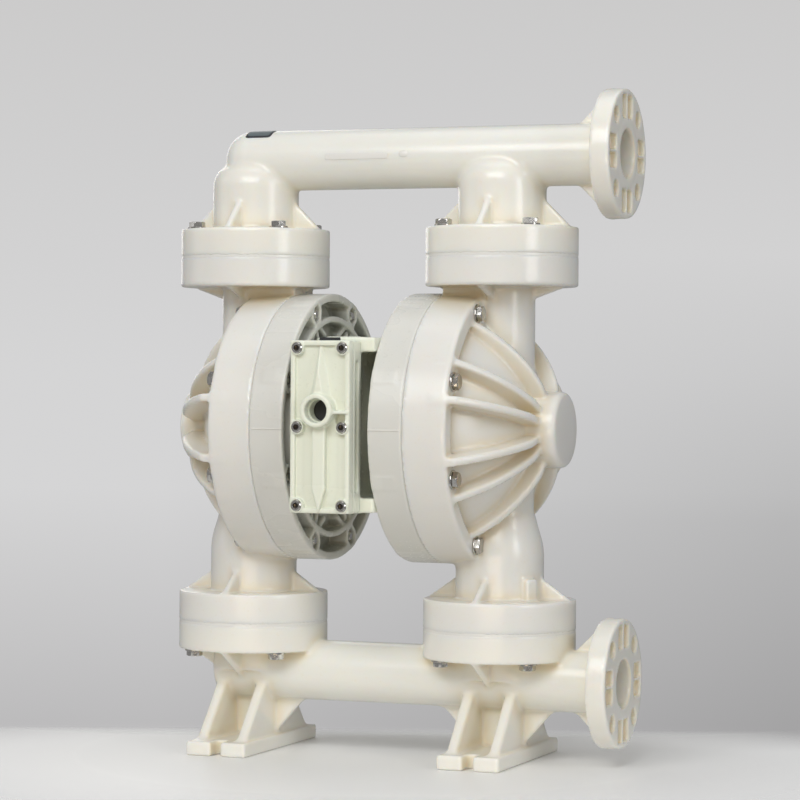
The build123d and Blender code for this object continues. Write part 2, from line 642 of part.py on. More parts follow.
def diaphragm():
    """Right diaphragm: clamped rim, rolled flex zone and flat middle."""
    x0, x1 = INNER_PLATE_X, OUTER_PLATE_X
    bore_r, rim_r = ROD_R + ROD_GAP, BEAD_OUT_R - BEAD_GAP
    roll_r = (ROLL_IN_R + ROLL_OUT_R) / 2
    return turned_x(
        Polyline(
            (x0, bore_r), (x0, ROLL_IN_R), (x0 + ROLL_HIGH, roll_r), (x0, ROLL_OUT_R), (x0, rim_r),
            (x1, rim_r), (x1, ROLL_OUT_R), (x1 + ROLL_HIGH, roll_r), (x1, ROLL_IN_R), (x1, bore_r),
            close=True,
        )
    )


def inner_plate():
    """Plate on the air side of the right diaphragm."""
    x0, x1 = INNER_PLATE_X - INNER_PLATE_THICK, INNER_PLATE_X
    bore_r = ROD_R + ROD_GAP
    return turned_x(Polyline((x0, bore_r), (x0, PLATE_R - 6), (x1, PLATE_R), (x1, bore_r), close=True))


def outer_plate():
    """Plate on the liquid side of the right diaphragm, screwed onto the rod's end."""
    x0, x1 = OUTER_PLATE_X, OUTER_PLATE_X + OUTER_PLATE_THICK
    bore_r, socket_x = ROD_R + ROD_GAP, OUTER_PLATE_X + ROD_SOCKET
    return turned_x(
        Polyline(
            (socket_x, 0), (socket_x, bore_r), (x0, bore_r), (x0, PLATE_R), (x0 + 4, PLATE_R),
            (x1, PLATE_R / 2), (x1, 0), close=True,
        )
    )


def rod_bushing():
    """Right bushing of the diaphragm rod in the centre block."""
    x0, x1 = AIR_INNER_X - BUSHING_LONG, AIR_INNER_X
    return bar_x(ROD_R + BUSHING_WALL, x0, x1) - bar_x(ROD_R + ROD_GAP, x0 - 1, x1 + 1)


def screw_places():
    """X and Z of the valve cover's screws."""
    rows = (VALVE_LOW_Z + SCREW_MARGIN_Z, SHAFT_Z + SCREW_MID_RISE, VALVE_TOP_Z - SCREW_MARGIN_Z)
    return [(x, z) for x in (-SCREW_X, SCREW_X) for z in rows]


def valve_housing(grow):
    """Rear part of the valve body, which stands in the centre block's pocket."""
    return block(
        -HOUSE_HALF_X - grow, HOUSE_HALF_X + grow, BLOCK_FRONT_Y - GASKET_THICK - 1, HOUSE_BACK_Y + grow,
        VALVE_LOW_Z + HOUSE_INSET_Z - grow, VALVE_TOP_Z - HOUSE_INSET_Z + grow,
    )


def center_block():
    """Centre block: hub for the rod, waisted body, top and bottom plates and valve pocket."""
    back_y, neck_y = BLOCK_BACK_Y - BLOCK_PLATE_THICK, BLOCK_FRONT_Y + BLOCK_PLATE_THICK
    side = [
        Line((AIR_INNER_X, BLOCK_BACK_Y), (AIR_INNER_X, back_y)),
        ThreePointArc((AIR_INNER_X, back_y), (BLOCK_WAIST_X, 0), (BLOCK_FRONT_HALF_X, neck_y)),
        Line((BLOCK_FRONT_HALF_X, neck_y), (BLOCK_FRONT_HALF_X, BLOCK_FRONT_Y)),
    ]
    half = make_face(
        Plane.XY
        * (Curve() + side + Polyline((BLOCK_FRONT_HALF_X, BLOCK_FRONT_Y), (0, BLOCK_FRONT_Y),
                                     (0, BLOCK_BACK_Y), (AIR_INNER_X, BLOCK_BACK_Y)))
    )
    waist = half + mirror(half, Plane.YZ)
    body = Pos(0, 0, BLOCK_LOW_Z) * extrude(waist, BLOCK_TOP_Z - BLOCK_LOW_Z)
    plates = [
        block(-AIR_INNER_X, AIR_INNER_X, neck_y, back_y, z0, z0 + BLOCK_PLATE_THICK)
        for z0 in (BLOCK_LOW_Z, BLOCK_TOP_Z - BLOCK_PLATE_THICK)
    ]
    body += plates + [bar_x(BLOCK_HUB_R, -AIR_INNER_X, AIR_INNER_X)]
    cuts = [
        bar_x(ROD_R + BUSHING_WALL, -AIR_INNER_X - 1, AIR_INNER_X + 1),
        bar_x(PILOT_R + ROD_GAP, -AIR_INNER_X - 1, AIR_INNER_X + 1, z=SHAFT_Z + PILOT_RISE),
        bar_y(EXHAUST_R, BLOCK_BACK_Y - EXHAUST_DEEP, BLOCK_BACK_Y + 1),
        valve_housing(SEAT_GAP),
    ]
    cuts += [bar_y(SCREW_R + THREAD_GAP, BLOCK_FRONT_Y - 1, BLOCK_FRONT_Y + SCREW_BITE + 1, x, z)
             for x, z in screw_places()]
    return body - cuts


def valve_plate(y0, y1):
    """Plate of the valve's outline between two depths, with the screw holes."""
    plate = block(-VALVE_HALF_X, VALVE_HALF_X, y0, y1, VALVE_LOW_Z, VALVE_TOP_Z)
    return plate - [bar_y(SCREW_R + THREAD_GAP, y0 - 1, y1 + 1, x, z) for x, z in screw_places()]


def valve_gasket():
    """Gasket between the valve body and the centre block, open round the housing."""
    return valve_plate(BLOCK_FRONT_Y - GASKET_THICK, BLOCK_FRONT_Y) - valve_housing(SEAT_GAP)


def valve_body():
    """Valve body between cover and centre block, with the spool's bore."""
    front_y = VALVE_FRONT_Y + COVER_THICK + GASKET_THICK
    body = valve_plate(front_y, BLOCK_FRONT_Y - GASKET_THICK) + valve_housing(0)
    bore_low, bore_top = VALVE_LOW_Z + HOUSE_INSET_Z, VALVE_TOP_Z - HOUSE_INSET_Z
    return body - [
        bar_z(SLEEVE_R, bore_low - 1, bore_top + 1, 0, SPOOL_AXIS_Y),
        bar_y(INLET_PORT_R, front_y - 1, SPOOL_AXIS_Y, z=SHAFT_Z + INLET_RISE),
    ]


def cover_gasket():
    """Gasket behind the valve cover, with the inlet port."""
    front_y = VALVE_FRONT_Y + COVER_THICK
    port = bar_y(INLET_PORT_R, front_y - 1, front_y + GASKET_THICK + 1, z=SHAFT_Z + INLET_RISE)
    return valve_plate(front_y, front_y + GASKET_THICK) - port


def valve_cover():
    """Front cover: sunk panel in a border, screw bosses, air inlet and stiffening wedges."""
    back_y = VALVE_FRONT_Y + COVER_THICK
    panel_y = VALVE_FRONT_Y + PANEL_DEEP
    inlet_z = SHAFT_Z + INLET_RISE
    body = block(-VALVE_HALF_X, VALVE_HALF_X, VALVE_FRONT_Y, back_y, VALVE_LOW_Z, VALVE_TOP_Z)
    body -= block(-VALVE_HALF_X + BORDER_WIDE, VALVE_HALF_X - BORDER_WIDE, VALVE_FRONT_Y - 1, panel_y,
                  VALVE_LOW_Z + BORDER_WIDE, VALVE_TOP_Z - BORDER_WIDE)
    boss_y = VALVE_FRONT_Y - SCREW_BOSS_OUT
    extras = [bar_y(SCREW_BOSS_R, boss_y, back_y, x, z) for x, z in screw_places()]
    extras.append(bar_y(INLET_BOSS_R, VALVE_FRONT_Y - INLET_BOSS_OUT, back_y, z=inlet_z))
    top_z, low_z = inlet_z + INLET_BOSS_R + RIDGE_UP, inlet_z - INLET_BOSS_R - RIDGE_DOWN
    half, point_z = RIDGE_HALF_WIDE, low_z + RIDGE_POINT
    outline = Polyline((-half, inlet_z), (0, top_z), (half, inlet_z), (half, point_z), (0, low_z),
                       (-half, point_z), close=True)
    extras.append(Pos(0, panel_y, 0) * extrude(make_face(Plane.XZ * outline), panel_y - boss_y))
    extras.append(block(0, VALVE_HALF_X, boss_y, panel_y, inlet_z - RIB_BAR_HALF, inlet_z + RIB_BAR_HALF))
    body += extras
    mouth_y = VALVE_FRONT_Y - INLET_BOSS_OUT
    cuts = [
        bar_y(INLET_R, mouth_y - 1, mouth_y + INLET_DEEP, z=inlet_z),
        bar_y(INLET_PORT_R, VALVE_FRONT_Y, back_y + 1, z=inlet_z),
    ]
    for x, z in screw_places():
        cuts.append(bar_y(SCREW_R + THREAD_GAP, boss_y - 1, back_y + 1, x, z))
        cuts.append(bar_y(SCREW_HEAD_R + SEAT_GAP, boss_y - 1, boss_y + SCREW_SINK, x, z))
    return body - cuts


def cover_screws():
    """Six socket head screws through the cover into the centre block."""
    seat_y = VALVE_FRONT_Y - SCREW_BOSS_OUT + SCREW_SINK
    screws = []
    for x, z in screw_places():
        head = bar_y(SCREW_HEAD_R, seat_y - SCREW_HEAD_HIGH, seat_y, x, z)
        screws.append(head + bar_y(SCREW_R, seat_y, BLOCK_FRONT_Y + SCREW_BITE, x, z))
    return screws


def valve_caps():
    """Two caps that close the spool's bore, lower one first."""
    low_z, top_z = VALVE_LOW_Z + HOUSE_INSET_Z, VALVE_TOP_Z - HOUSE_INSET_Z
    return [bar_z(SLEEVE_R, low_z, low_z + CAP_THICK, 0, SPOOL_AXIS_Y),
            bar_z(SLEEVE_R, top_z - CAP_THICK, top_z, 0, SPOOL_AXIS_Y)]


def valve_sleeve():
    """Sleeve that the main spool runs in."""
    low_z = VALVE_LOW_Z + HOUSE_INSET_Z + CAP_THICK
    top_z = VALVE_TOP_Z - HOUSE_INSET_Z - CAP_THICK
    inside = bar_z(SPOOL_R + SPOOL_GAP, low_z - 1, top_z + 1, 0, SPOOL_AXIS_Y)
    port = bar_y(INLET_PORT_R, SPOOL_AXIS_Y - SLEEVE_R - 1, SPOOL_AXIS_Y, z=SHAFT_Z + INLET_RISE)
    return bar_z(SLEEVE_R, low_z, top_z, 0, SPOOL_AXIS_Y) - [inside, port]


def valve_spool():
    """Main spool at the lower end of its travel, with two waists between three lands."""
    low_z = VALVE_LOW_Z + HOUSE_INSET_Z + CAP_THICK + SPOOL_END_GAP
    top_z = VALVE_TOP_Z - HOUSE_INSET_Z - CAP_THICK - SPOOL_TRAVEL - SPOOL_END_GAP
    middle = (low_z + top_z) / 2
    spool = bar_z(SPOOL_R, low_z, top_z, 0, SPOOL_AXIS_Y)
    for side in (-1, 1):
        z = middle + side * SPOOL_WAIST_LONG * 0.8
        ring = bar_z(SPOOL_R + 1, z - SPOOL_WAIST_LONG / 2, z + SPOOL_WAIST_LONG / 2, 0, SPOOL_AXIS_Y)
        spool -= ring - bar_z(SPOOL_WAIST_R, low_z, top_z, 0, SPOOL_AXIS_Y)
    return spool


def both_sides(parts, name, piece):
    """Add the right piece and the left piece turned from it."""
    parts[f"{name}_right"] = piece
    parts[f"{name}_left"] = [left_of(one) for one in piece] if isinstance(piece, list) else left_of(piece)


def build():
    """Every piece of the pump under its own name."""
    parts = {
        "discharge_manifold": discharge_manifold(),
        "suction_manifold": suction_manifold(),
        "center_block": center_block(),
        "valve_gasket": valve_gasket(),
        "valve_body": valve_body(),
        "cover_gasket": cover_gasket(),
        "valve_cover": valve_cover(),
        "cover_screws": cover_screws(),
        "valve_sleeve": valve_sleeve(),
        "valve_spool": valve_spool(),
    }
    parts["valve_cap_bottom"], parts["valve_cap_top"] = valve_caps()
    both_sides(parts, "liquid_chamber", liquid_chamber())
    both_sides(parts, "air_chamber", air_chamber())
    both_sides(parts, "chamber_bolts", chamber_bolts())
    both_sides(parts, "chamber_washers", chamber_washers())
    both_sides(parts, "chamber_nuts", chamber_nuts())
    both_sides(parts, "diaphragm", diaphragm())
    both_sides(parts, "inner_plate", inner_plate())
    both_sides(parts, "outer_plate", outer_plate())
    both_sides(parts, "rod_bushing", rod_bushing())
    rod_end = OUTER_PLATE_X + ROD_SOCKET
    parts["diaphragm_rod"] = bar_x(ROD_R, -rod_end, rod_end)
    parts["pilot_rod"] = bar_x(PILOT_R, -PILOT_END_X, PILOT_END_X, z=SHAFT_Z + PILOT_RISE)
    joints = {
        "discharge": (UPPER_SEAM_Z, UPPER_SEAM_Z + MANIFOLD_DISC_THICK, 1),
        "suction": (LOWER_SEAM_Z, LOWER_SEAM_Z - MANIFOLD_DISC_THICK, -1),
    }
    for name, (seam_z, face_z, up) in joints.items():
        bolts, washers = joint_bolts(face_z, up), joint_washers(face_z, up)
        parts[f"{name}_bolts"] = bolts + [left_of(bolt) for bolt in bolts]
        parts[f"{name}_washers"] = washers + [left_of(washer) for washer in washers]
        parts[f"{name}_seats"] = [seat(seam_z), left_of(seat(seam_z))]
        both_sides(parts, f"{name}_ball", ball(seam_z))
    return parts


def save(parts):
    """Write each piece to its own file."""
    os.makedirs("parts", exist_ok=True)
    for name, piece in parts.items():
        solids = piece if isinstance(piece, list) else piece.solids()
        export_step(Compound(label=name, children=list(solids)), f"parts/{name}.step")


save(build())
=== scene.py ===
"""Looks of an air operated double diaphragm pump in natural polypropylene.

The mouldings are worked out as distance fields: each boss, rib and neck is a distance in millimetres to its
surface, they are joined and cut with a soft blend that leaves the moulded fillets, and the zero surface is put
into a mesh. The turned and hexagonal pieces are surfaces of two parameters, an angle and a step along a profile.
X runs along the diaphragm rod, -Y is the front with the air inlet, and Z is up from the floor.
Sizes are in millimetres up to the mesh. The last number of add, cut and soft_max is the reach of a fillet.
"""
import json
import logging
import math
from collections.abc import Mapping, Sequence
from dataclasses import dataclass
from enum import Enum

import bpy
import numpy as np
from mathutils import Matrix, Vector

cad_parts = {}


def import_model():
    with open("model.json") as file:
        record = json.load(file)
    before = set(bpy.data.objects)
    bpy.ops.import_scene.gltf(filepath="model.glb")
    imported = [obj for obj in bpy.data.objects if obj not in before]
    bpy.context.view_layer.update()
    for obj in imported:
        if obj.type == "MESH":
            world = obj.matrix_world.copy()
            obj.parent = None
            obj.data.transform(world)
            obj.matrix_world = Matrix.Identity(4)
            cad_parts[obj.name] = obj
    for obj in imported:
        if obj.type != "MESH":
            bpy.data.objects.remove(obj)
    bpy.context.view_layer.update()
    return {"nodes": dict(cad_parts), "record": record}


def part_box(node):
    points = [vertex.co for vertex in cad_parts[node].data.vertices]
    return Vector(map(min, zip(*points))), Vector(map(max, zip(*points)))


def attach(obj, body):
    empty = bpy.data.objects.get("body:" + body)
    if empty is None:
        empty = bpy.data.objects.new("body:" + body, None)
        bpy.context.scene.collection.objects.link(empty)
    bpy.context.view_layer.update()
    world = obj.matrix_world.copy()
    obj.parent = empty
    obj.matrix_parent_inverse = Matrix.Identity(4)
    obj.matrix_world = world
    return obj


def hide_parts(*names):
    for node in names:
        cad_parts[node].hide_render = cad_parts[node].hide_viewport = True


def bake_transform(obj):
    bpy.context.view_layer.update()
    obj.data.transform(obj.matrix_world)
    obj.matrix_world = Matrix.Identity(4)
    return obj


LOG = logging.getLogger("pump")
MM = 1000.0
PHOTO_PIXELS = 800
CASING, ROD = "root", "diaphragm_shaft"
PAST = 9.0  # how far a cut runs past the face that it opens
GRID_STEPS = {"liquid": 2.65, "air": 2.0, "manifold": 2.5, "block": 2.2, "body": 1.8, "cover": 1.1}
GUSSET_HALF = 4.0
Array = np.ndarray


def soft_min(first: Array, second: Array, blend: float) -> Array:
    """Joins two distance fields with a fillet.

    Where the two distances differ by less than blend, a parabola of the difference is taken off the smaller one.

    Args:
        first: Distances to the first shape.
        second: Distances to the second shape.
        blend: Reach of the fillet, in millimetres.

    Returns:
        Distances to the joined shape.
    """
    if blend <= 0:
        return np.minimum(first, second)
    near = np.maximum(blend - np.abs(first - second), 0)
    return np.minimum(first, second) - near * near * (0.25 / blend)


def soft_max(first: Array, second: Array, blend: float = 0.0) -> Array:
    """Distances to what two shapes share, with a rounded edge of about blend."""
    return -soft_min(-first, -second, blend)


def bar(radial: Array, along: Array, radius: float, low: float, high: float, edge: float = 0.0) -> Array:
    """Distances to a round bar with rounded rims.

    The bar is shrunk by edge, and the distance to that smaller bar less edge is taken.

    Args:
        radial: Distance of each point from the bar's axis.
        along: Coordinate of each point along the axis.
        radius: Radius of the bar.
        low: Where the bar starts along its axis.
        high: Where the bar ends.
        edge: Radius of the rims.

    Returns:
        Signed distances, negative inside.
    """
    out = radial - (radius - edge)
    end = np.abs(along - (low + high) / 2) - ((high - low) / 2 - edge)
    return np.hypot(np.maximum(out, 0), np.maximum(end, 0)) + np.minimum(np.maximum(out, end), 0) - edge


def brick(offsets: Sequence[Array], halves: Sequence[float], edge: float = 0.0) -> Array:
    """Distances to a block with rounded edges, shrunk and grown again as a bar is.

    Args:
        offsets: Offsets of each point from the block's middle, along each axis.
        halves: Half of the block's size along each axis.
        edge: Radius of the edges.

    Returns:
        Signed distances, negative inside.
    """
    outs = [np.abs(offset) - (half - edge) for offset, half in zip(offsets, halves)]
    squares = sum(np.maximum(out, 0) ** 2 for out in outs)
    inside = outs[0]
    for out in outs[1:]:
        inside = np.maximum(inside, out)
    return np.sqrt(squares) + np.minimum(inside, 0) - edge


def slope(across: Array, along: Array, start: tuple[float, float], end: tuple[float, float]) -> Array:
    """Distances from the line through two points, which turned round the axis is a cone.

    Args:
        across: First coordinate of each point, such as its distance from an axis.
        along: Second coordinate.
        start: First point of the line.
        end: Second point.

    Returns:
        Signed distances, positive to the left on the way from start to end.
    """
    step_across, step_along = end[0] - start[0], end[1] - start[1]
    size = math.hypot(step_across, step_along)
    return (step_across * (along - start[1]) - step_along * (across - start[0])) / size


class Clay:
    """Material on a regular grid of signed distances, in millimetres, negative inside."""

    HOLLOW_WAYS = (6.0, 14.0, 36.0)
    EDGE_WAY = 5.0
    MARGIN_STEPS = 2.5
    EMPTY = 1e3

    def __init__(self, low: Sequence[float], high: Sequence[float], step: float) -> None:
        """Makes an empty grid.

        Args:
            low: Lowest corner of what will be modelled.
            high: Highest corner.
            step: Distance between grid points.
        """
        self.step = step
        margin = self.MARGIN_STEPS * step
        axes = [np.arange(a - margin, b + margin, step, dtype=np.float32) for a, b in zip(low, high)]
        self.low = np.array([axis[0] for axis in axes], np.float32)
        self.x, self.y, self.z = np.meshgrid(*axes, indexing="ij", sparse=True)
        self.value = np.full([len(axis) for axis in axes], self.EMPTY, np.float32)

    def add(self, shape: Array, blend: float = 0.0) -> None:
        """Joins a shape to the material with a fillet."""
        self.value = soft_min(self.value, shape, blend)

    def cut(self, shape: Array, blend: float = 0.0) -> None:
        """Takes a shape away from the material, with a rounded edge."""
        self.value = soft_max(self.value, -shape, blend)

    def _sample(self, points: Array) -> tuple[Array, Array]:
        """Mixes the distance and its gradient from the eight corners of each point's cell.

        Args:
            points: Points in grid steps.

        Returns:
            Distances and gradients.
        """
        top = np.array(self.value.shape) - 2
        cell = np.clip(np.floor(points).astype(np.int32), 0, top)
        part = (points - cell).astype(np.float32)
        total = np.zeros(len(points), np.float32)
        gradient = np.zeros((len(points), 3), np.float32)
        for corner in np.ndindex(2, 2, 2):
            value = self.value[tuple((cell + corner).T)]
            share = np.where(corner, part, 1 - part)
            total += value * share.prod(1)
            for axis in range(3):
                others = [i for i in range(3) if i != axis]
                gradient[:, axis] += value * share[:, others].prod(1) * (2 * corner[axis] - 1)
        return total, gradient

    def surface(self) -> tuple[Array, Array, dict[str, Array]]:
        """Finds the zero surface.

        Each grid cell that the surface passes through gets one vertex, at the mean of the crossings on the cell's
        edges, and each grid edge that it crosses gets one quad between the four cells around it. The vertices are
        then moved along the gradient onto the surface.

        A vertex lies in a recess where the distance grows more slowly than the way out along its normal, and on an
        edge where it falls more slowly than the way in. How deep it lies sets the painted shade of hollows.

        Returns:
            Vertices in metres, quads, and from 0 to 1 how far each vertex lies in a recess, which sets its painted
            shade, and on an edge.
        """
        inside = self.value < 0
        counts = sum(
            inside[tuple(slice(i, n - 1 + i) for i, n in zip(corner, inside.shape))].astype(np.int8)
            for corner in np.ndindex(2, 2, 2)
        )
        cells = np.argwhere((counts > 0) & (counts < 8))
        number = np.full(counts.shape, -1, np.int32)
        number[tuple(cells.T)] = np.arange(len(cells), dtype=np.int32)
        corners = np.array(list(np.ndindex(2, 2, 2)))
        values = np.stack([self.value[tuple((cells + corner).T)] for corner in corners], 1)
        total = np.zeros((len(cells), 3), np.float32)
        crossings = np.zeros(len(cells), np.float32)
        for first in range(8):
            for second in range(first + 1, 8):
                if np.abs(corners[first] - corners[second]).sum() != 1:
                    continue
                a, b = values[:, first], values[:, second]
                crossed = (a < 0) != (b < 0)
                share = np.where(crossed, a / np.where(crossed, a - b, 1), 0)
                place = corners[first] + share[:, None] * (corners[second] - corners[first])
                total += place * crossed[:, None]
                crossings += crossed
        points = cells + total / crossings[:, None]
        for _ in range(2):
            distance, gradient = self._sample(points)
            length = np.maximum((gradient**2).sum(1), 0.05)
            points -= np.clip(distance / length, -0.35, 0.35)[:, None] * gradient
        _, gradient = self._sample(points)
        normal = gradient / np.sqrt(np.maximum((gradient**2).sum(1), 1e-6))[:, None]
        # Occlusion along the normal, which the materials turn into painted shade in hollows.
        deficits = [1 - self._sample(points + normal * (way / self.step))[0] / way for way in self.HOLLOW_WAYS]
        hollow_shade = sum(deficits) / len(deficits)
        edge = 1 + self._sample(points - normal * (self.EDGE_WAY / self.step))[0] / self.EDGE_WAY
        tones = {"hollow_shade": np.clip(hollow_shade, 0, 1), "edge": np.clip(edge, 0, 1)}
        quads = [self._quads(inside, number, axis) for axis in range(3)]
        return (self.low + points * self.step) / MM, np.concatenate(quads), tones

    @staticmethod
    def _quads(inside: Array, number: Array, axis: int) -> Array:
        """Finds the quads round the crossed grid edges along one axis, wound so that they face outwards.

        Args:
            inside: Whether each grid point is in the material.
            number: Vertex number of each cell, or -1.
            axis: Direction of the edges.

        Returns:
            Quads as vertex numbers.
        """
        ahead = np.roll(inside, -1, axis)
        crossed = inside != ahead
        trim = [slice(1, -1)] * 3
        keep = np.zeros_like(crossed)
        keep[tuple(trim)] = crossed[tuple(trim)]
        edges = np.argwhere(keep)
        u, v = [i for i in range(3) if i != axis]
        if axis == 1:
            u, v = v, u
        rings = []
        for back_u, back_v in ((1, 1), (0, 1), (0, 0), (1, 0)):
            cell = edges.copy()
            cell[:, u] -= back_u
            cell[:, v] -= back_v
            rings.append(number[tuple(cell.T)])
        quads = np.stack(rings, 1)
        outward = inside[tuple(edges.T)]
        quads[~outward] = quads[~outward][:, ::-1]
        return quads[(quads >= 0).all(1)]


def grid_faces(rows: int, columns: int) -> Array:
    """Makes quads between the rings of a grid.

    Args:
        rows: Number of rings.
        columns: Points of each ring, whose last one is joined to its first.

    Returns:
        Quads as numbers of points.
    """
    row, column = np.meshgrid(np.arange(rows - 1), np.arange(columns), indexing="ij")
    after = (column + 1) % columns
    quads = [row * columns + column, row * columns + after, (row + 1) * columns + after, (row + 1) * columns + column]
    return np.stack([quad.ravel() for quad in quads], 1)


def make_mesh(name: str, points: Array, quads: Array, weld: bool = False, sharp: float = 0.0) -> bpy.types.Object:
    """Puts points in metres and quads into a new object.

    Args:
        name: Name of the piece.
        points: Vertices, one row each.
        quads: Vertex numbers of the faces.
        weld: Whether points that coincide are joined, so that a quad at a pole becomes a triangle.
        sharp: Angle in degrees above which edges are shaded sharp, or 0 for none.

    Returns:
        The new object, with its place in its mesh.
    """
    if weld:
        _, first, inverse = np.unique(np.round(points, 7), axis=0, return_index=True, return_inverse=True)
        points, quads = points[first], inverse.reshape(-1)[quads]
    doubled = quads == np.roll(quads, 1, axis=1)
    doubles = doubled.sum(1)
    triangles = quads[doubles == 1][~doubled[doubles == 1]].reshape(-1, 3)
    mesh = bpy.data.meshes.new(name)
    mesh.from_pydata(points.tolist(), [], quads[doubles == 0].tolist() + triangles.tolist())
    mesh.shade_smooth()
    if sharp:
        mesh.set_sharp_from_angle(angle=math.radians(sharp))
    return in_scene(name, mesh)


def in_scene(name: str, data: bpy.types.ID) -> bpy.types.Object:
    """Puts a mesh, a lamp or a camera into the scene as a new object."""
    made = bpy.data.objects.new(name, data)
    bpy.context.scene.collection.objects.link(made)
    return made


def mesh_points(piece: bpy.types.Object) -> Array:
    """Vertices of a piece in metres, one row each."""
    points = np.empty((len(piece.data.vertices), 3), np.float32)
    piece.data.vertices.foreach_get("co", points.ravel())
    return points


class Side(Enum):
    """The two ends of the diaphragm rod, seen from the front."""

    LEFT = "left"
    RIGHT = "right"

    @property
    def sign(self) -> int:
        """Direction of this end along X."""
        return 1 if self is Side.RIGHT else -1

    def place(self, points: Array) -> Array:
        """Points modelled on the right, given half a turn about Z where this is the left side."""
        return points * np.array([self.sign, self.sign, 1])


@dataclass(frozen=True)
class Layout:
    """Main places of the pump, read from the frame, and the sizes that several pieces share."""

    shaft_z: float
    riser_x: float
    suction_z: float
    discharge_z: float
    low_seam: float
    top_seam: float
    low_face: float
    top_face: float
    flange_x: float
    flange_r: float
    flange_hole_r: float
    flange_circle_r: float
    ring_r: float
    clamp_x: float
    ring_x: float
    air_x: float
    rod_r: float
    pilot_r: float
    pilot_rise: float
    hub_x: float = 243.9
    bolt_circle_r: float = 147.0
    disc_bolt_r: float = 76.5
    seat_r: float = 44.2
    seat_deep: float = 8.2
    ball_room_r: float = 39.0
    guide_r: float = 33.0
    guide_half: float = 4.0

    @classmethod
    def from_frame(cls, record: dict) -> "Layout":
        """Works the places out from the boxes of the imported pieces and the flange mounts.

        Args:
            record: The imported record.

        Returns:
            The layout.
        """
        low, high = {}, {}
        for node in ("diaphragm_rod", "pilot_rod", "discharge_ball_right", "liquid_chamber_right",
                     "air_chamber_right", "chamber_washers_right", "discharge_washers", "suction_washers",
                     "discharge_manifold"):
            low[node], high[node] = (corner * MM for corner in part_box(node))
        mounts = {mount["name"]: mount for mount in record["mounts"]}
        top, bottom = mounts["discharge_flange_bolts"], mounts["suction_flange_bolts"]
        ball, rod, pilot = "discharge_ball_right", "diaphragm_rod", "pilot_rod"
        discharge_z, shaft_z = top["pos_m"][2] * MM, (low[rod].z + high[rod].z) / 2
        return cls(
            shaft_z=shaft_z,
            riser_x=(low[ball].x + high[ball].x) / 2,
            suction_z=bottom["pos_m"][2] * MM,
            discharge_z=discharge_z,
            low_seam=low["liquid_chamber_right"].z,
            top_seam=high["liquid_chamber_right"].z,
            low_face=high["suction_washers"].z,
            top_face=low["discharge_washers"].z,
            flange_x=top["pos_m"][0] * MM,
            flange_r=high["discharge_manifold"].z - discharge_z,
            flange_hole_r=top["dims"]["hole_r_mm"],
            flange_circle_r=top["dims"]["pcd_mm"] / 2,
            ring_r=high["air_chamber_right"].y,
            clamp_x=high["air_chamber_right"].x,
            ring_x=low["chamber_washers_right"].x,
            air_x=low["air_chamber_right"].x,
            rod_r=(high[rod].z - low[rod].z) / 2,
            pilot_r=(high[pilot].z - low[pilot].z) / 2,
            pilot_rise=(high[pilot].z + low[pilot].z) / 2 - shaft_z,
        )

    def ring_bolts(self) -> list[tuple[float, float]]:
        """Y and Z of the eight bolts of a clamp ring, the first one a sixteenth of a turn above the front."""
        angles, r = [math.radians(22.5 + 45 * i) for i in range(8)], self.bolt_circle_r
        return [(-r * math.cos(angle), self.shaft_z + r * math.sin(angle)) for angle in angles]


def turned(profile: Sequence[tuple[float, float]], sides: int = 32, flats: float = 0.0) -> tuple[Array, Array]:
    """Surface turned about Z, one ring for each radius and height of the profile.

    Where flats is given, each ring is kept inside a hexagon: its radius is at most half of flats over the cosine of
    the angle to the nearest flat's middle.

    Args:
        profile: Radius and height of each ring, from the lower pole to the upper one.
        sides: Points round each ring.
        flats: Width of the hexagon over its flats, or 0 for round rings.

    Returns:
        Points in millimetres and quads.
    """
    rings = np.asarray(profile, float)
    angle = np.arange(sides) * (2 * math.pi / sides)
    radius = rings[:, :1] * np.ones(sides)
    if flats:
        to_flat = (angle + math.pi / 6) % (math.pi / 3) - math.pi / 6
        radius = np.minimum(radius, flats / 2 / np.cos(to_flat))
    height = rings[:, 1:] * np.ones(sides)
    points = np.stack([radius * np.cos(angle), radius * np.sin(angle), height], -1)
    return points.reshape(-1, 3), grid_faces(len(rings), sides)


def repeat(
    points: Array, quads: Array, axes: Sequence[Array], places: Sequence[Sequence[float]]
) -> tuple[Array, Array]:
    """Copies of one shape, each turned by its own matrix and moved to its own place.

    Args:
        points: Points of the shape.
        quads: Its quads.
        axes: A 3 by 3 matrix for each copy, whose columns are the new X, Y and Z.
        places: Where each copy's origin goes.

    Returns:
        Points and quads of all the copies.
    """
    copies = np.einsum("nij,pj->npi", np.array(axes, float), points) + np.array(places, float)[:, None, :]
    offsets = np.arange(len(places))[:, None, None] * len(points)
    return copies.reshape(-1, 3), (quads[None] + offsets).reshape(-1, quads.shape[1])


def facing(direction: Sequence[float], spin: float = 0.0) -> Array:
    """Works out axes whose Z is a given direction.

    Args:
        direction: The new Z, of length 1.
        spin: Turn about it in degrees.

    Returns:
        Matrix whose columns are the new X, Y and Z.
    """
    forward = np.array(direction, float)
    side = np.cross((0, 0, 1) if abs(forward[2]) < 0.9 else (0, 1, 0), forward)
    side /= np.linalg.norm(side)
    up = np.cross(forward, side)
    c, s = math.cos(math.radians(spin)), math.sin(math.radians(spin))
    return np.stack([c * side + s * up, c * up - s * side, forward], 1)


def superellipse(count: int, power: float) -> tuple[Array, Array, Array]:
    """Works out a closed outline between a circle, at a power of 2, and a square.

    Its radius at an angle is the sum of the powers of the cosine and the sine, to the power of minus one over power.

    Args:
        count: Points round the outline.
        power: How square it is.

    Returns:
        Cosine, sine and radius of each point.
    """
    angle = np.arange(count) * (2 * math.pi / count)
    c, s = np.cos(angle), np.sin(angle)
    return c, s, (np.abs(c) ** power + np.abs(s) ** power) ** (-1 / power)


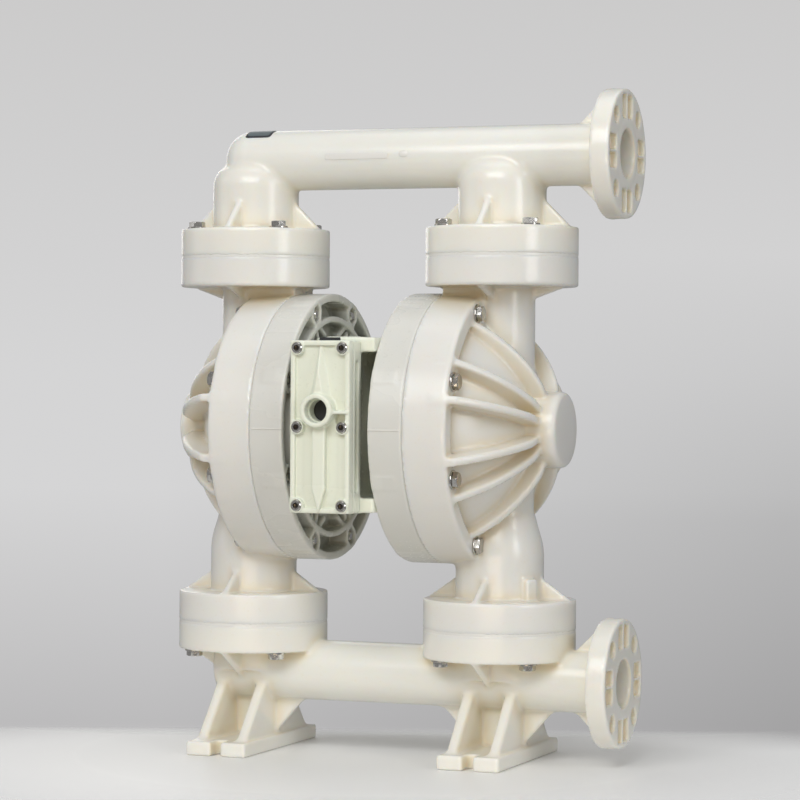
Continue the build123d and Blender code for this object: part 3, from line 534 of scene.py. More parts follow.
class Shop:
    """Puts finished meshes into the scene, on their body, with their finish and the nodes they stand for."""

    def __init__(self, finishes: dict[str, bpy.types.Material], slots: dict[str, str]) -> None:
        """Keeps the materials and the record's slot of each CAD node."""
        self.finishes = finishes
        self.slots = slots

    def finish(self, piece: bpy.types.Object, finish: str, node: str) -> None:
        """Gives a piece its material.

        Args:
            piece: The new piece.
            finish: Name of its material.
            node: CAD node that the piece stands for; not used.
        """
        piece.data.materials.append(self.finishes[finish])
        LOG.info("%s: %d faces", piece.name, len(piece.data.polygons))

    def dress(self, piece: bpy.types.Object, finish: str, node: str) -> None:
        """Finishes a piece that lies on a CAD node of the casing, which stays."""
        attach(piece, CASING)
        self.finish(piece, finish, node)

    def put(self, piece: bpy.types.Object, finish: str, node: str) -> None:
        """Finishes a piece that stands for a CAD node of the casing."""
        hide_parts(node)
        self.dress(piece, finish, node)


def set_values(piece: bpy.types.Object, label: str, values: Array) -> None:
    """Stores one number for each vertex as an attribute that a material reads."""
    attribute = piece.data.attributes.new(label, "FLOAT", "POINT")
    attribute.data.foreach_set("value", values.astype(np.float32))


def mould(name: str, clay: Clay, side: Side = Side.RIGHT) -> bpy.types.Object:
    """Makes a piece from the zero surface of its clay, with the painted shade of its hollows and its edges as
    attributes.

    Args:
        name: Name of the piece.
        clay: The modelled material.
        side: End of the rod that the piece belongs to.

    Returns:
        The piece.
    """
    points, quads, tones = clay.surface()
    piece = make_mesh(name, side.place(points), quads)
    for label, values in tones.items():
        set_values(piece, label, values)
    return piece


@dataclass
class LiquidChamber:
    """Liquid chamber: clamp ring, domed front with ribs, hub, and the necks with their discs."""

    layout: Layout
    neck_r: float = 40.0
    cage_r: float = 52.5
    cage_top: float = 258.0
    cage_shoulder: float = 33.0
    disc_r: float = 90.9
    disc_thick: float = 36.4
    dome_x: float = 45.0
    dome_r: float = 166.0
    hub_r: float = 45.4
    hub_chamfer: float = 5.0
    hub_crown_r: float = 420.0
    crest_end: float = 224.0
    groove_r: float = 141.0
    groove_x: float = 133.0
    rib_half: float = 4.8
    rib_angles: tuple[float, ...] = (13.0, 31.0, 61.0)
    crest_x: tuple[float, ...] = (29.0, 44.0, 66.0)
    crest_r: tuple[float, ...] = (207.5, 189.0, 167.0)
    rib_root_r: float = 20.0
    floor_x: float = 130.0
    seat_mid_r: float = 139.0
    seat_half: float = 14.0
    spot_r: float = 13.0
    spot_high: float = 70.0
    saddle_half: float = 30.0
    low_gusset: tuple[float, float] = (87.0, 26.0)
    top_gusset: tuple[float, float] = (76.0, -15.0)
    pad_turn: float = -30.0
    pad_place: tuple[float, float] = (48.0, 10.0)
    pad_half: tuple[float, float, float] = (12.0, 8.5, 16.0)
    wall: float = 16.0
    room_r: float = 120.0
    room_back: float = 30.0
    passage_r: float = 28.0
    cage_room_top: float = 242.0

    def sculpt(self, step: float) -> Clay:
        """Models the right chamber.

        The dome is a sphere about the rod's axis, and each rib is what a slab in a plane through that axis shares
        with a sphere that gives its crest. The hub's top is a flat sphere with a soft bevel round it.

        Args:
            step: Grid step in millimetres.

        Returns:
            The modelled clay.
        """
        at = self.layout
        reach = self.disc_r + 1
        clay = Clay((at.riser_x - reach, -at.ring_r, at.low_seam),
                    (at.riser_x + reach, at.ring_r, at.top_seam), step)
        x, up = clay.x, clay.z - at.shaft_z
        radial = np.hypot(clay.y, up)
        clay.add(bar(radial, x, at.ring_r, at.clamp_x - 20, at.ring_x, 3.0))
        clay.cut(bar(radial, x, self.groove_r, self.groove_x, at.hub_x + PAST), 2.0)
        self._seats(clay, radial, up)
        clay.add(np.hypot(x - self.dome_x, radial) - self.dome_r, 6.0)
        for angle, crest_x, crest_r in zip(self.rib_angles, self.crest_x, self.crest_r):
            c, s = math.cos(math.radians(angle)), math.sin(math.radians(angle))
            out = np.abs(clay.y) * c + np.abs(up) * s
            side = np.abs(np.abs(up) * c - np.abs(clay.y) * s) - self.rib_half
            rib = soft_max(side, np.hypot(x - crest_x, out) - crest_r, 2.5)
            rib = soft_max(soft_max(rib, out - at.ring_r + 1.0), self.floor_x - x)
            clay.add(soft_max(soft_max(rib, x - self.crest_end, 3.0), self.rib_root_r - out), 3.0)
        hub = bar(radial, x, self.hub_r, at.clamp_x, at.hub_x, 1.0)
        bevel = (x - at.hub_x + radial - self.hub_r + self.hub_chamfer) / math.sqrt(2)
        crown = np.hypot(x - at.hub_x + self.hub_crown_r, radial) - self.hub_crown_r
        clay.add(soft_max(soft_max(hub, bevel, 4.0), crown, 1.5), 3.0)
        self._spot_faces(clay, up)
        clay.cut(x - at.clamp_x)
        self._necks(clay)
        self._hollow(clay, radial)
        return clay

    def _seats(self, clay: Clay, radial: Array, up: Array) -> None:
        """Adds the blocks in the groove that carry the ring bolts' heads, folded into one eighth of the ring.

        Args:
            clay: The chamber.
            radial: Distance from the rod's axis.
            up: Height over it.
        """
        out, side = eighth(radial, clay.y, up)
        high = self.layout.ring_x - self.floor_x
        offsets = (out - self.seat_mid_r, side, clay.x - self.floor_x)
        clay.add(brick(offsets, (self.seat_half, self.seat_half, high), 3.0), 3.0)

    def _spot_faces(self, clay: Clay, up: Array) -> None:
        """Cuts the round flats that the washers lie on through whatever rib passes them.

        Args:
            clay: The chamber.
            up: Height over the rod's axis.
        """
        at = self.layout
        for y, z in at.ring_bolts():
            across = np.hypot(clay.y - y, up + at.shaft_z - z)
            clay.cut(bar(across, clay.x, self.spot_r, at.ring_x, at.ring_x + self.spot_high), 1.5)

    def _necks(self, clay: Clay) -> None:
        """Adds both necks with their discs and gussets, the saddle over the ring, and the small pad.

        Args:
            clay: The chamber.
        """
        at = self.layout
        dx = clay.x - at.riser_x
        riser = np.hypot(dx, clay.y)
        disc_low, disc_top = at.top_seam - self.disc_thick, at.low_seam + self.disc_thick
        clay.add(bar(riser, clay.z, self.neck_r, at.shaft_z, disc_low + 3), 9.0)
        saddle_low, saddle_top = at.shaft_z + at.ring_r - 22, disc_low + 2
        sizes = ((at.riser_x - at.clamp_x) / 2, self.saddle_half, (saddle_top - saddle_low) / 2)
        offsets = (clay.x - (at.riser_x + at.clamp_x) / 2, clay.y, clay.z - (saddle_low + saddle_top) / 2)
        clay.add(brick(offsets, sizes, 2.0), 4.0)
        clay.add(bar(riser, clay.z, self.disc_r, disc_low, at.top_seam, 1.6), 4.0)
        shoulder_top = self.cage_top + self.cage_shoulder
        cage = bar(riser, clay.z, self.cage_r, at.low_seam, shoulder_top)
        taper = slope(riser, clay.z, (self.cage_r, self.cage_top), (self.neck_r, shoulder_top))
        clay.add(soft_max(cage, -taper, 6.0), 6.0)
        clay.add(bar(riser, clay.z, self.neck_r, self.cage_top, at.shaft_z), 9.0)
        clay.add(bar(riser, clay.z, self.disc_r, at.low_seam, disc_top, 1.6), 4.0)
        clay.add(gussets(dx, clay.y, clay.z - disc_low, self.neck_r, *self.top_gusset), 4.0)
        clay.add(gussets(dx, clay.y, clay.z - disc_top, self.cage_r, *self.low_gusset), 4.0)
        c, s = math.cos(math.radians(self.pad_turn)), math.sin(math.radians(self.pad_turn))
        along, side = dx * c + clay.y * s, clay.y * c - dx * s
        out, high = self.pad_place
        clay.add(brick((along - out, side, clay.z - disc_top - high), self.pad_half, 2.0), 3.0)

    def _hollow(self, clay: Clay, radial: Array) -> None:
        """Cuts the pumping chamber behind the dome, the passages, the ball's room and the seats' pockets.

        Args:
            clay: The chamber.
            radial: Distance from the rod's axis.
        """
        at = self.layout
        dx = clay.x - at.riser_x
        riser = np.hypot(dx, clay.y)
        dome = np.hypot(clay.x - self.dome_x, radial) - self.dome_r
        room = soft_max(dome + self.wall, radial - self.room_r, 4.0)
        clay.cut(soft_max(room, at.clamp_x - self.room_back - clay.x))
        clay.cut(bar(riser, clay.z, self.passage_r, at.low_seam - PAST, at.top_seam + PAST))
        ball_room(at, clay, dx, riser, (at.low_seam - PAST, self.cage_room_top))
        for seam in (at.low_seam, at.top_seam):
            clay.cut(bar(riser, clay.z, at.seat_r, seam - at.seat_deep, seam + at.seat_deep))


def eighth(radial: Array, y: Array, up: Array) -> tuple[Array, Array]:
    """Folds the eight equal parts of a ring into one, whose middle carries a bolt.

    Args:
        radial: Distance from the rod's axis.
        y: Offset from it along Y.
        up: Offset along Z.

    Returns:
        Offsets along the part's middle line and across it.
    """
    local = np.mod(np.arctan2(up, y), math.pi / 4) - math.pi / 8
    return radial * np.cos(local), radial * np.sin(local)


def ball_room(layout: Layout, clay: Clay, dx: Array, riser: Array, ends: tuple[float, float]) -> None:
    """Cuts the round room of a ball and leaves its four guides, which stand into it on the diagonals.

    Args:
        layout: Sizes of the room and the guides.
        clay: The moulding.
        dx: Offset from the riser's axis along X.
        riser: Distance from that axis.
        ends: Lowest and highest Z of the room.
    """
    from_diagonal = np.minimum(np.abs(dx - clay.y), np.abs(dx + clay.y)) / math.sqrt(2)
    guide = soft_max(from_diagonal - layout.guide_half, layout.guide_r - riser)
    clay.cut(soft_max(bar(riser, clay.z, layout.ball_room_r, *ends), -guide, 1.0))


def gussets(dx: Array, y: Array, over: Array, root: float, tip: float, high: float) -> Array:
    """Distances to the four triangular gussets between a riser and its disc.

    The quarter turns are folded together: the larger of the two offsets from the riser's axis runs along a gusset,
    and the smaller one is the distance from its middle plane.

    Args:
        dx: Offset from the riser's axis along X.
        y: Offset along Y.
        over: Height over the disc's face.
        root: Radius at which the gusset is highest.
        tip: Radius at which it meets the disc.
        high: Its height, negative where it hangs below the disc.

    Returns:
        Signed distances.
    """
    along, side = np.maximum(np.abs(dx), np.abs(y)), np.minimum(np.abs(dx), np.abs(y))
    rise = over * math.copysign(1, high)
    web = soft_max(side - GUSSET_HALF, -slope(along, rise, (tip, 2.0), (root, abs(high))), 2.5)
    return soft_max(soft_max(web, -3.0 - rise), np.maximum(along - tip, root - 12.0 - along), 2.0)


@dataclass
class AirChamber:
    """Air chamber: rim, conical wall, arc web, spokes, braces and nut bosses round the middle."""

    layout: Layout
    rim_inner_r: float = 152.0
    floor_out: tuple[float, float] = (152.0, 80.0)
    floor_in: tuple[float, float] = (68.0, 56.0)
    dish_in: tuple[float, float] = (62.0, 60.0)
    dish_out: tuple[float, float] = (119.0, 90.9)
    web_r: float = 130.5
    web_half: float = 3.6
    web_x: float = 74.0
    web_lip: float = 3.0
    spoke_middle: float = 95.0
    spoke_half: float = 30.0
    spoke_x: float = 68.0
    brace_lean: float = 38.0
    brace_half: float = 20.0
    brace_x: float = 76.0
    boss_x: float = 84.0
    bore_gap: float = 1.0
    bead_r: float = 133.0
    boss_flats: float = 29.0
    pocket_flats: float = 19.0
    pocket_deep: float = 12.0

    def sculpt(self, step: float) -> Clay:
        """Models the right chamber, folding the eight equal parts of its webs into one.

        A trough with a conical floor is cut between rim and middle. In it stand a round web, a spoke behind each
        bolt's boss, and two braces that lean from the boss to the round web.

        Args:
            step: Grid step in millimetres.

        Returns:
            The modelled clay.
        """
        at = self.layout
        clay = Clay((at.air_x, -at.ring_r, at.shaft_z - at.ring_r),
                    (at.clamp_x, at.ring_r, at.shaft_z + at.ring_r), step)
        x, up = clay.x, clay.z - at.shaft_z
        radial = np.hypot(clay.y, up)
        out, side = eighth(radial, clay.y, up)
        side = np.abs(side)
        clay.add(bar(radial, x, at.ring_r, at.air_x, at.clamp_x, 1.2))
        floor = slope(radial, x, self.floor_in, self.floor_out)
        trough = soft_max(soft_max(radial - self.rim_inner_r, self.floor_in[0] - radial, 2.0), floor, 3.0)
        clay.cut(trough, 1.5)
        web = soft_max(np.abs(radial - self.web_r) - self.web_half, x - self.web_x, 2.0)
        clay.add(soft_max(web, at.air_x - x, 1.0), 2.5)
        lip = at.air_x + self.web_lip - x
        spoke = soft_max(side - self.web_half, np.abs(out - self.spoke_middle) - self.spoke_half)
        clay.add(soft_max(soft_max(spoke, x - self.spoke_x), lip, 2.0), 2.5)
        lean = math.radians(self.brace_lean)
        from_boss = at.bolt_circle_r - self.boss_flats / 4 - out
        across = np.abs(side * math.cos(lean) - from_boss * math.sin(lean))
        along = from_boss * math.cos(lean) + side * math.sin(lean)
        brace = soft_max(across - self.web_half, np.abs(along - self.brace_half) - self.brace_half)
        clay.add(soft_max(soft_max(brace, x - self.brace_x), lip, 2.0), 2.5)
        pocket = (at.air_x - PAST, at.air_x + self.pocket_deep)
        clay.add(self._nut(out, side, x, self.boss_flats, (at.air_x, self.boss_x), 2.0), 2.0)
        clay.cut(self._nut(out, side, x, self.pocket_flats, pocket, 0.6), 0.8)
        dish = soft_max(radial - self.dish_out[0], -slope(radial, x, self.dish_in, self.dish_out), 2.0)
        clay.cut(soft_max(dish, self.dish_in[1] - x, 2.0))
        clay.cut(bar(radial, x, self.bead_r, self.dish_out[1], at.clamp_x + PAST))
        pilot = np.hypot(clay.y, up - at.pilot_rise)
        for away, bore_r in ((radial, at.rod_r + self.bore_gap), (pilot, at.pilot_r + self.bore_gap)):
            clay.cut(bar(away, x, bore_r, at.air_x - PAST, at.clamp_x))
        return clay

    def _nut(
        self, out: Array, side: Array, x: Array, flats: float, ends: tuple[float, float], edge: float
    ) -> Array:
        """Distances to a hexagonal bar on the bolt circle, the largest of the distances from its flats.

        Args:
            out: Offset along the middle line of an eighth.
            side: Offset across it.
            x: Place along the rod.
            flats: Width over the flats.
            ends: Where the bar starts and ends along X.
            edge: Rounding of its corners.

        Returns:
            Signed distances, negative inside.
        """
        low, top = ends
        away = np.abs(out - self.layout.bolt_circle_r)
        hexagon = soft_max(away * 0.5 + side * math.sqrt(0.75), away, edge) - flats / 2
        return soft_max(hexagon, np.abs(x - (low + top) / 2) - (top - low) / 2, edge)


@dataclass
class Manifold:
    """What both manifolds share: pipe, drilled flange, riser discs and their bores."""

    layout: Layout
    axis_z: float
    seam: float
    face: float
    pipe_r: float = 36.5
    bore_r: float = 28.0
    disc_r: float = 90.9
    flange_thick: float = 24.0
    gusset_long: float = 34.0
    gusset_high: float = 36.0
    core_in: float = 42.0
    core_out: float = 69.0
    core_deep: float = 9.0
    core_side: float = 10.6
    core_half: float = 9.0
    riser_bore_r: float = 27.0

    def flange(self, clay: Clay, from_axis: Array) -> None:
        """Adds the flange with its gussets, then cuts its holes and moulded pockets.

        The flange looks the same after each quarter turn, so the larger offset from the pipe's axis runs outwards
        along an arm and the smaller one is the distance from the arm's middle.

        Args:
            clay: The manifold.
            from_axis: Distance from the pipe's axis.
        """
        at = self.layout
        back = at.flange_x - self.flange_thick
        up = clay.z - self.axis_z
        clay.add(bar(from_axis, clay.x, at.flange_r, back, at.flange_x, 2.0), 5.0)
        rise = np.abs(up)
        start = back - self.gusset_long
        web = -slope(clay.x, rise, (back + 2, self.pipe_r + self.gusset_high), (start, self.pipe_r))
        web = soft_max(np.abs(clay.y) - GUSSET_HALF, web, 2.0)
        clay.add(soft_max(soft_max(web, start - clay.x), clay.x - back - 6), 3.0)
        offset = at.flange_circle_r / math.sqrt(2)
        hole = np.hypot(np.abs(clay.y) - offset, rise - offset)
        clay.cut(bar(hole, clay.x, at.flange_hole_r, back - self.flange_thick, at.flange_x + PAST), 1.0)
        along, side = np.maximum(np.abs(clay.y), rise), np.minimum(np.abs(clay.y), rise)
        middle, half = (self.core_in + self.core_out) / 2, (self.core_out - self.core_in) / 2
        core = soft_max(np.abs(along - middle) - half, np.abs(side - self.core_side) - self.core_half, 4.0)
        core = soft_max(core, from_axis - self.core_out - 1.0, 2.0)
        clay.cut(soft_max(core, at.flange_x - self.core_deep - clay.x, 2.0), 1.0)

    def risers(self, clay: Clay) -> tuple[Array, Array]:
        """Offsets from the nearer riser's axis: along X, and from the axis."""
        dx = np.abs(clay.x) - self.layout.riser_x
        return dx, np.hypot(dx, clay.y)

    def extent(self) -> tuple[float, float]:
        """Lowest and highest X of the moulding."""
        return -self.layout.riser_x - self.disc_r - 1, self.layout.flange_x


@dataclass
class DischargeManifold(Manifold):
    """Upper manifold: an elbow at the left, a tee at the right, and the flange."""

    riser_r: float = 52.5
    riser_top: float = 712.0
    shoulder: tuple[float, float] = (12.0, 14.0)
    corner_power: float = 2.2
    gusset: tuple[float, float] = (84.0, 33.0)
    bore_past: float = 18.0
    roof: float = 3.0

    def sculpt(self, step: float) -> Clay:
        """Models the manifold.

        The elbow's outside corner is a superellipse: the pipe's axis is replaced by the corner's two offsets to the
        power of corner_power, added, and brought back with the root.

        Args:
            step: Grid step in millimetres.

        Returns:
            The modelled clay.
        """
        at = self.layout
        low_x, high_x = self.extent()
        clay = Clay((low_x, -self.disc_r - 1, self.seam),
                    (high_x, self.disc_r + 1, self.axis_z + at.flange_r), step)
        dx, riser = self.risers(clay)
        up = clay.z - self.axis_z
        from_axis = np.hypot(clay.y, up)
        clay.add(bar(from_axis, clay.x, self.pipe_r, -at.riser_x, at.flange_x - 2))
        past, over = np.maximum(-at.riser_x - clay.x, 0), np.maximum(up, 0)
        power = self.corner_power
        corner = (past**power + over**power) ** (1 / power)
        elbow = np.hypot(corner, clay.y) - self.pipe_r
        clay.add(soft_max(soft_max(elbow, clay.x + at.riser_x), self.face - clay.z))
        body = bar(riser, clay.z, self.riser_r, self.seam, self.riser_top)
        shoulder_in, shoulder_high = self.shoulder
        shoulder = -slope(riser, clay.z, (self.riser_r, self.riser_top - shoulder_high),
                          (self.riser_r - shoulder_in, self.riser_top))
        clay.add(soft_max(body, shoulder, 8.0), 7.0)
        clay.add(bar(riser, clay.z, self.disc_r, self.seam, self.face, 1.6), 5.0)
        clay.add(gussets(dx, clay.y, clay.z - self.face, self.riser_r, *self.gusset), 4.0)
        self.flange(clay, from_axis)
        clay.cut(bar(from_axis, clay.x, self.bore_r, -at.riser_x - self.bore_past, at.flange_x + PAST), 1.5)
        clay.cut(bar(riser, clay.z, self.riser_bore_r, self.seam, self.axis_z))
        ball_room(at, clay, dx, riser, (self.seam - PAST, self.axis_z - self.bore_r - self.roof))
        clay.cut(bar(riser, clay.z, at.seat_r, self.seam - PAST, self.seam + at.seat_deep))
        return clay


@dataclass
class SuctionManifold(Manifold):
    """Lower manifold: a pipe closed at the left, the flange at the right, and two feet."""

    closed_x: float = -200.0
    riser_r: float = 46.0
    foot_half: tuple[float, float] = (38.5, 110.0)
    foot_thick: float = 17.0
    slot_half: float = 6.75
    slot_deep: float = 24.0
    rib_x: float = 26.0
    rib_half: float = 6.5
    rib_front: tuple[float, float] = (97.0, 15.0)
    rib_top: tuple[float, float] = (32.0, 88.0)
    web_reach: float = 74.0
    web_half: float = 5.0
    web_down: tuple[float, float] = (20.0, 30.0)
    gusset: tuple[float, float] = (88.0, -27.0)
    end_wall: float = 12.0

    def sculpt(self, step: float) -> Clay:
        """Models the manifold, with both feet folded into one quarter.

        Args:
            step: Grid step in millimetres.

        Returns:
            The modelled clay.
        """
        at = self.layout
        low_x, high_x = self.extent()
        high = (high_x, self.foot_half[1], self.axis_z + at.flange_r)
        clay = Clay((low_x, -self.foot_half[1], 0), high, step)
        dx, riser = self.risers(clay)
        up = clay.z - self.axis_z
        from_axis = np.hypot(clay.y, up)
        clay.add(bar(from_axis, clay.x, self.pipe_r, self.closed_x, at.flange_x - 2, 9.0))
        clay.add(bar(riser, clay.z, self.riser_r, self.axis_z, self.face + 3), 8.0)
        clay.add(bar(riser, clay.z, self.disc_r, self.face, self.seam, 1.6), 5.0)
        clay.add(gussets(dx, clay.y, clay.z - self.face, self.riser_r, *self.gusset), 3.0)
        self._feet(clay, dx)
        self.flange(clay, from_axis)
        clay.cut(bar(from_axis, clay.x, self.bore_r, self.closed_x + self.end_wall, at.flange_x + PAST, 4.0), 1.5)
        clay.cut(bar(riser, clay.z, self.riser_bore_r, self.axis_z, self.seam + PAST))
        clay.cut(bar(riser, clay.z, at.seat_r, self.seam - at.seat_deep, self.seam + PAST))
        return clay

    def _feet(self, clay: Clay, dx: Array) -> None:
        """Adds the slotted soles, their ribs with the slanting fronts, and the web along the pipe.

        Args:
            clay: The manifold.
            dx: Offset from the nearer riser's axis along X.
        """
        away = np.abs(clay.y)
        half_x, half_y = self.foot_half
        sole = brick((dx, clay.y, clay.z - self.foot_thick / 2), (half_x, half_y, self.foot_thick / 2), 2.0)
        slant = slope(away, clay.z, self.rib_top, self.rib_front)
        rib = soft_max(np.abs(np.abs(dx) - self.rib_x) - self.rib_half, slant, 5.0)
        rib = soft_max(soft_max(rib, clay.z - self.rib_top[1]), 4.0 - clay.z)
        top_down, hip_down = self.web_down
        hip = slope(np.abs(dx), clay.z, (self.web_reach, self.axis_z - hip_down), (half_x - 4, self.foot_thick + 6))
        web = soft_max(soft_max(away - self.web_half, hip, 2.0), clay.z - self.axis_z + top_down)
        web = soft_max(web, self.closed_x + 4.0 - clay.x, 2.0)
        foot = soft_min(soft_min(sole, rib, 6.0), soft_max(web, 6.0 - clay.z), 4.0)
        clay.add(foot, 6.0)
        slot = np.hypot(np.maximum(half_y - self.slot_deep + self.slot_half - away, 0), dx) - self.slot_half
        clay.cut(soft_max(slot, clay.z - self.foot_thick - 4), 1.5)


@dataclass
class AirMotor:
    """Middle of the pump: centre block, valve body, gaskets, cover with the air inlet, and its screws."""

    layout: Layout
    block_x: float = 53.5
    block_y: tuple[float, float] = (-139.0, 125.0)
    block_z: tuple[float, float] = (297.5, 501.5)
    waist: float = 34.0
    pocket_x: float = 26.0
    plate: float = 17.0
    hub_r: float = 50.0
    half_x: float = 37.0
    low_z: float = 297.5
    top_z: float = 497.3
    front_y: float = -175.2
    cover_thick: float = 13.0
    gasket: float = 1.5
    spool_y: float = -125.0
    spool_r: float = 18.0
    housing_back: float = -101.0
    housing_half: tuple[float, float] = (22.5, 87.9)
    side_power: int = 7
    rod_bore_r: float = 20.0
    exhaust_r: float = 15.5
    exhaust_deep: float = 26.0
    corner_x: float = -8.0
    corner_y: float = -60.0
    waist_x: float = 31.0
    waist_half_y: float = 4.5
    waist_end: float = 24.0
    inlet_rise: float = 22.0
    inlet_r: float = 13.8
    inlet_deep_r: float = 12.4
    inlet_deep: float = 12.0
    inlet_boss_r: float = 19.5
    inlet_out: float = 13.0
    screw_x: float = 28.1
    screw_boss_r: float = 8.4
    screw_out: float = 2.5
    screw_row: tuple[float, float] = (8.7, 2.7)
    screw_hole_r: float = 6.7
    screw_hole_deep: float = 7.0
    border: float = 6.0
    panel_deep: float = 4.0
    root_deep: float = 6.0
    spire_high: float = 60.0
    spire_lean: tuple[float, float, float] = (0.985, 0.7, 0.19)
    spire_out: float = 6.0
    blade_half: float = 8.0
    blade_long: float = 98.0
    blade_point: float = 26.0
    blade_out: float = 3.5
    shelf_half: float = 1.8
    notch_place: tuple[float, float, float] = (25.0, 3.0, -9.5)
    notch_half: tuple[float, float, float] = (6.5, 6.5, 5.5)
    gasket_inset: float = 1.2
    tab: tuple[float, float] = (-2.0, 13.0)
    tab_high: float = 4.0

    @property
    def heights(self) -> tuple[float, float]:
        """Middle height of the valve's parts, and half of their height."""
        return (self.low_z + self.top_z) / 2, (self.top_z - self.low_z) / 2

    def screws(self) -> list[tuple[float, float]]:
        """X and Z of the six cover screws."""
        edge, over_rod = self.screw_row
        rows = (self.low_z + edge, self.layout.shaft_z + over_rod, self.top_z - edge)
        return [(x, z) for x in (-self.screw_x, self.screw_x) for z in rows]

    def _housing(self, clay: Clay, grow: float) -> Array:
        """Distances to the rear part of the valve body, which stands in the block's pocket.

        Args:
            clay: The piece that is modelled.
            grow: How much larger the part is taken on every side.

        Returns:
            Signed distances, negative inside.
        """
        y_low, y_high = self.block_y[0] - 3, self.housing_back
        half_x, half_z = self.housing_half
        offsets = (clay.x, clay.y - (y_low + y_high) / 2, clay.z - self.heights[0])
        return brick(offsets, (half_x + grow, (y_high - y_low) / 2 + grow, half_z + grow), 1.0)

    def block(self, step: float) -> Clay:
        """Models the centre block.

        Between its front and back the sides are drawn in: at the front they keep the valve's width over a narrow lip
        and then fall into a pocket, as a high power of the share of the way, and at the back like a parabola. The
        top left corner behind the valve is cut down by a step.

        Args:
            step: Grid step in millimetres.

        Returns:
            The modelled clay.
        """
        at = self.layout
        low, top = self.block_z
        clay = Clay((-self.block_x, self.block_y[0], low), (self.block_x, self.block_y[1], top), step)
        across, up = np.abs(clay.x), clay.z - at.shaft_z
        neck_back = self.block_y[1] - self.plate
        share = np.where(clay.y < 0, clay.y / self.block_y[0], clay.y / neck_back)
        share = np.minimum(np.abs(share), 1)
        front = self.pocket_x + (self.half_x - self.pocket_x) * share**self.side_power
        width = np.where(clay.y < 0, front, self.waist + (self.block_x - self.waist) * share**2)
        middle_y, middle_z = sum(self.block_y) / 2, (low + top) / 2
        depth = (self.block_y[1] - self.block_y[0]) / 2
        section = brick((clay.y - middle_y, clay.z - middle_z), (depth, (top - low) / 2), 1.5)
        clay.add(soft_max(across - width, section, 2.0))
        lid = np.abs(clay.z - middle_z) - (top - low) / 2 + self.plate / 2
        wide = brick((clay.x, clay.y - (self.block_y[0] + neck_back) / 2, lid),
                     (self.block_x, (neck_back - self.block_y[0]) / 2, self.plate / 2), 1.5)
        clay.add(wide, 3.0)
        radial = np.hypot(clay.y, up)
        clay.add(bar(radial, clay.x, self.hub_r, -self.block_x, self.block_x, 1.0), 4.0)
        through = (-2 * self.hub_r, 2 * self.hub_r)
        clay.cut(bar(radial, clay.x, self.rod_bore_r, *through))
        clay.cut(bar(np.hypot(clay.y, up - at.pilot_rise), clay.x, at.pilot_r + 1.0, *through))
        port = (self.block_y[1] - self.exhaust_deep, self.block_y[1] + PAST)
        clay.cut(bar(np.hypot(clay.x, up), clay.y, self.exhaust_r, *port), 1.5)
        clay.cut(self._housing(clay, 0.2))
        corner = soft_max(self.top_z - clay.z, clay.x - self.corner_x)
        clay.cut(soft_max(corner, clay.y - self.corner_y), 1.0)
        return clay

    def body(self, step: float) -> Clay:
        """Models the valve body with its drawn-in sides, the spool's bore and the way in from the inlet.

        Args:
            step: Grid step in millimetres.

        Returns:
            The modelled clay.
        """
        front = self.front_y + self.cover_thick + self.gasket
        back = self.block_y[0] - self.gasket
        clay = Clay((-self.half_x, front, self.low_z), (self.half_x, self.housing_back, self.top_z), step)
        middle_z, half_z = self.heights
        slab = brick((clay.x, clay.y - (front + back) / 2, clay.z - middle_z),
                     (self.half_x, (back - front) / 2, half_z), 0.8)
        deep = np.abs(clay.y - (front + back) / 2) - self.waist_half_y
        waist = soft_max(self.waist_x - np.abs(clay.x), deep, 2.0)
        waist = soft_max(waist, np.abs(clay.z - middle_z) - half_z + self.waist_end, 3.0)
        clay.add(soft_max(slab, -waist, 2.0))
        clay.add(self._housing(clay, 0.0))
        clay.cut(bar(np.hypot(clay.x, clay.y - self.spool_y), clay.z, self.spool_r, self.low_z, self.top_z))
        from_inlet = np.hypot(clay.x, clay.z - self.layout.shaft_z - self.inlet_rise)
        clay.cut(bar(from_inlet, clay.y, self.inlet_deep_r, front - PAST, self.spool_y))
        return clay

    def cover(self, step: float) -> Clay:
        """Models the cover: a sunk panel in a border, round screw bosses, and the inlet on its pointed ridges.

        The upper ridge is a pyramid that narrows to a point and ends level with the cover's top, and the lower one
        keeps its width and ends in a point. A shelf runs from the inlet to the right edge, with a notch below it.

        Args:
            step: Grid step in millimetres.

        Returns:
            The modelled clay.
        """
        at = self.layout
        nose = self.front_y - self.inlet_out
        back = self.front_y + self.cover_thick
        clay = Clay((-self.half_x, nose, self.low_z), (self.half_x, back, self.top_z), step)
        middle_z, half_z = self.heights
        inlet_z = at.shaft_z + self.inlet_rise
        clay.add(brick((clay.x, clay.y - (self.front_y + back) / 2, clay.z - middle_z),
                       (self.half_x, self.cover_thick / 2, half_z), 1.6))
        window = soft_max(np.abs(clay.x) - self.half_x + self.border,
                          np.abs(clay.z - middle_z) - half_z + self.border, 4.0)
        clay.cut(soft_max(window, clay.y - self.front_y - self.panel_deep, 1.0), 1.2)
        depth = clay.y - self.front_y
        boss_y = self.front_y - self.screw_out
        for x, z in self.screws():
            clay.add(bar(np.hypot(clay.x - x, clay.z - z), clay.y, self.screw_boss_r, boss_y, back, 1.2), 1.6)
        across, rise, root = np.abs(clay.x), clay.z - inlet_z, depth - self.root_deep
        lean_x, lean_y, lean_z = self.spire_lean
        spire = across * lean_x - (self.screw_out + depth) * lean_y + (rise - self.spire_high) * lean_z
        spire = soft_max(soft_max(spire, -rise), -self.spire_out - depth, 0.4)
        clay.add(soft_max(spire, np.maximum(root, clay.z - self.top_z + 0.8)), 0.6)
        end = rise + self.inlet_boss_r + self.blade_long
        point = (across * self.blade_point - end * self.blade_half) / math.hypot(self.blade_point, self.blade_half)
        blade = soft_max(soft_max(across - self.blade_half, rise, 0.6), point, 0.8)
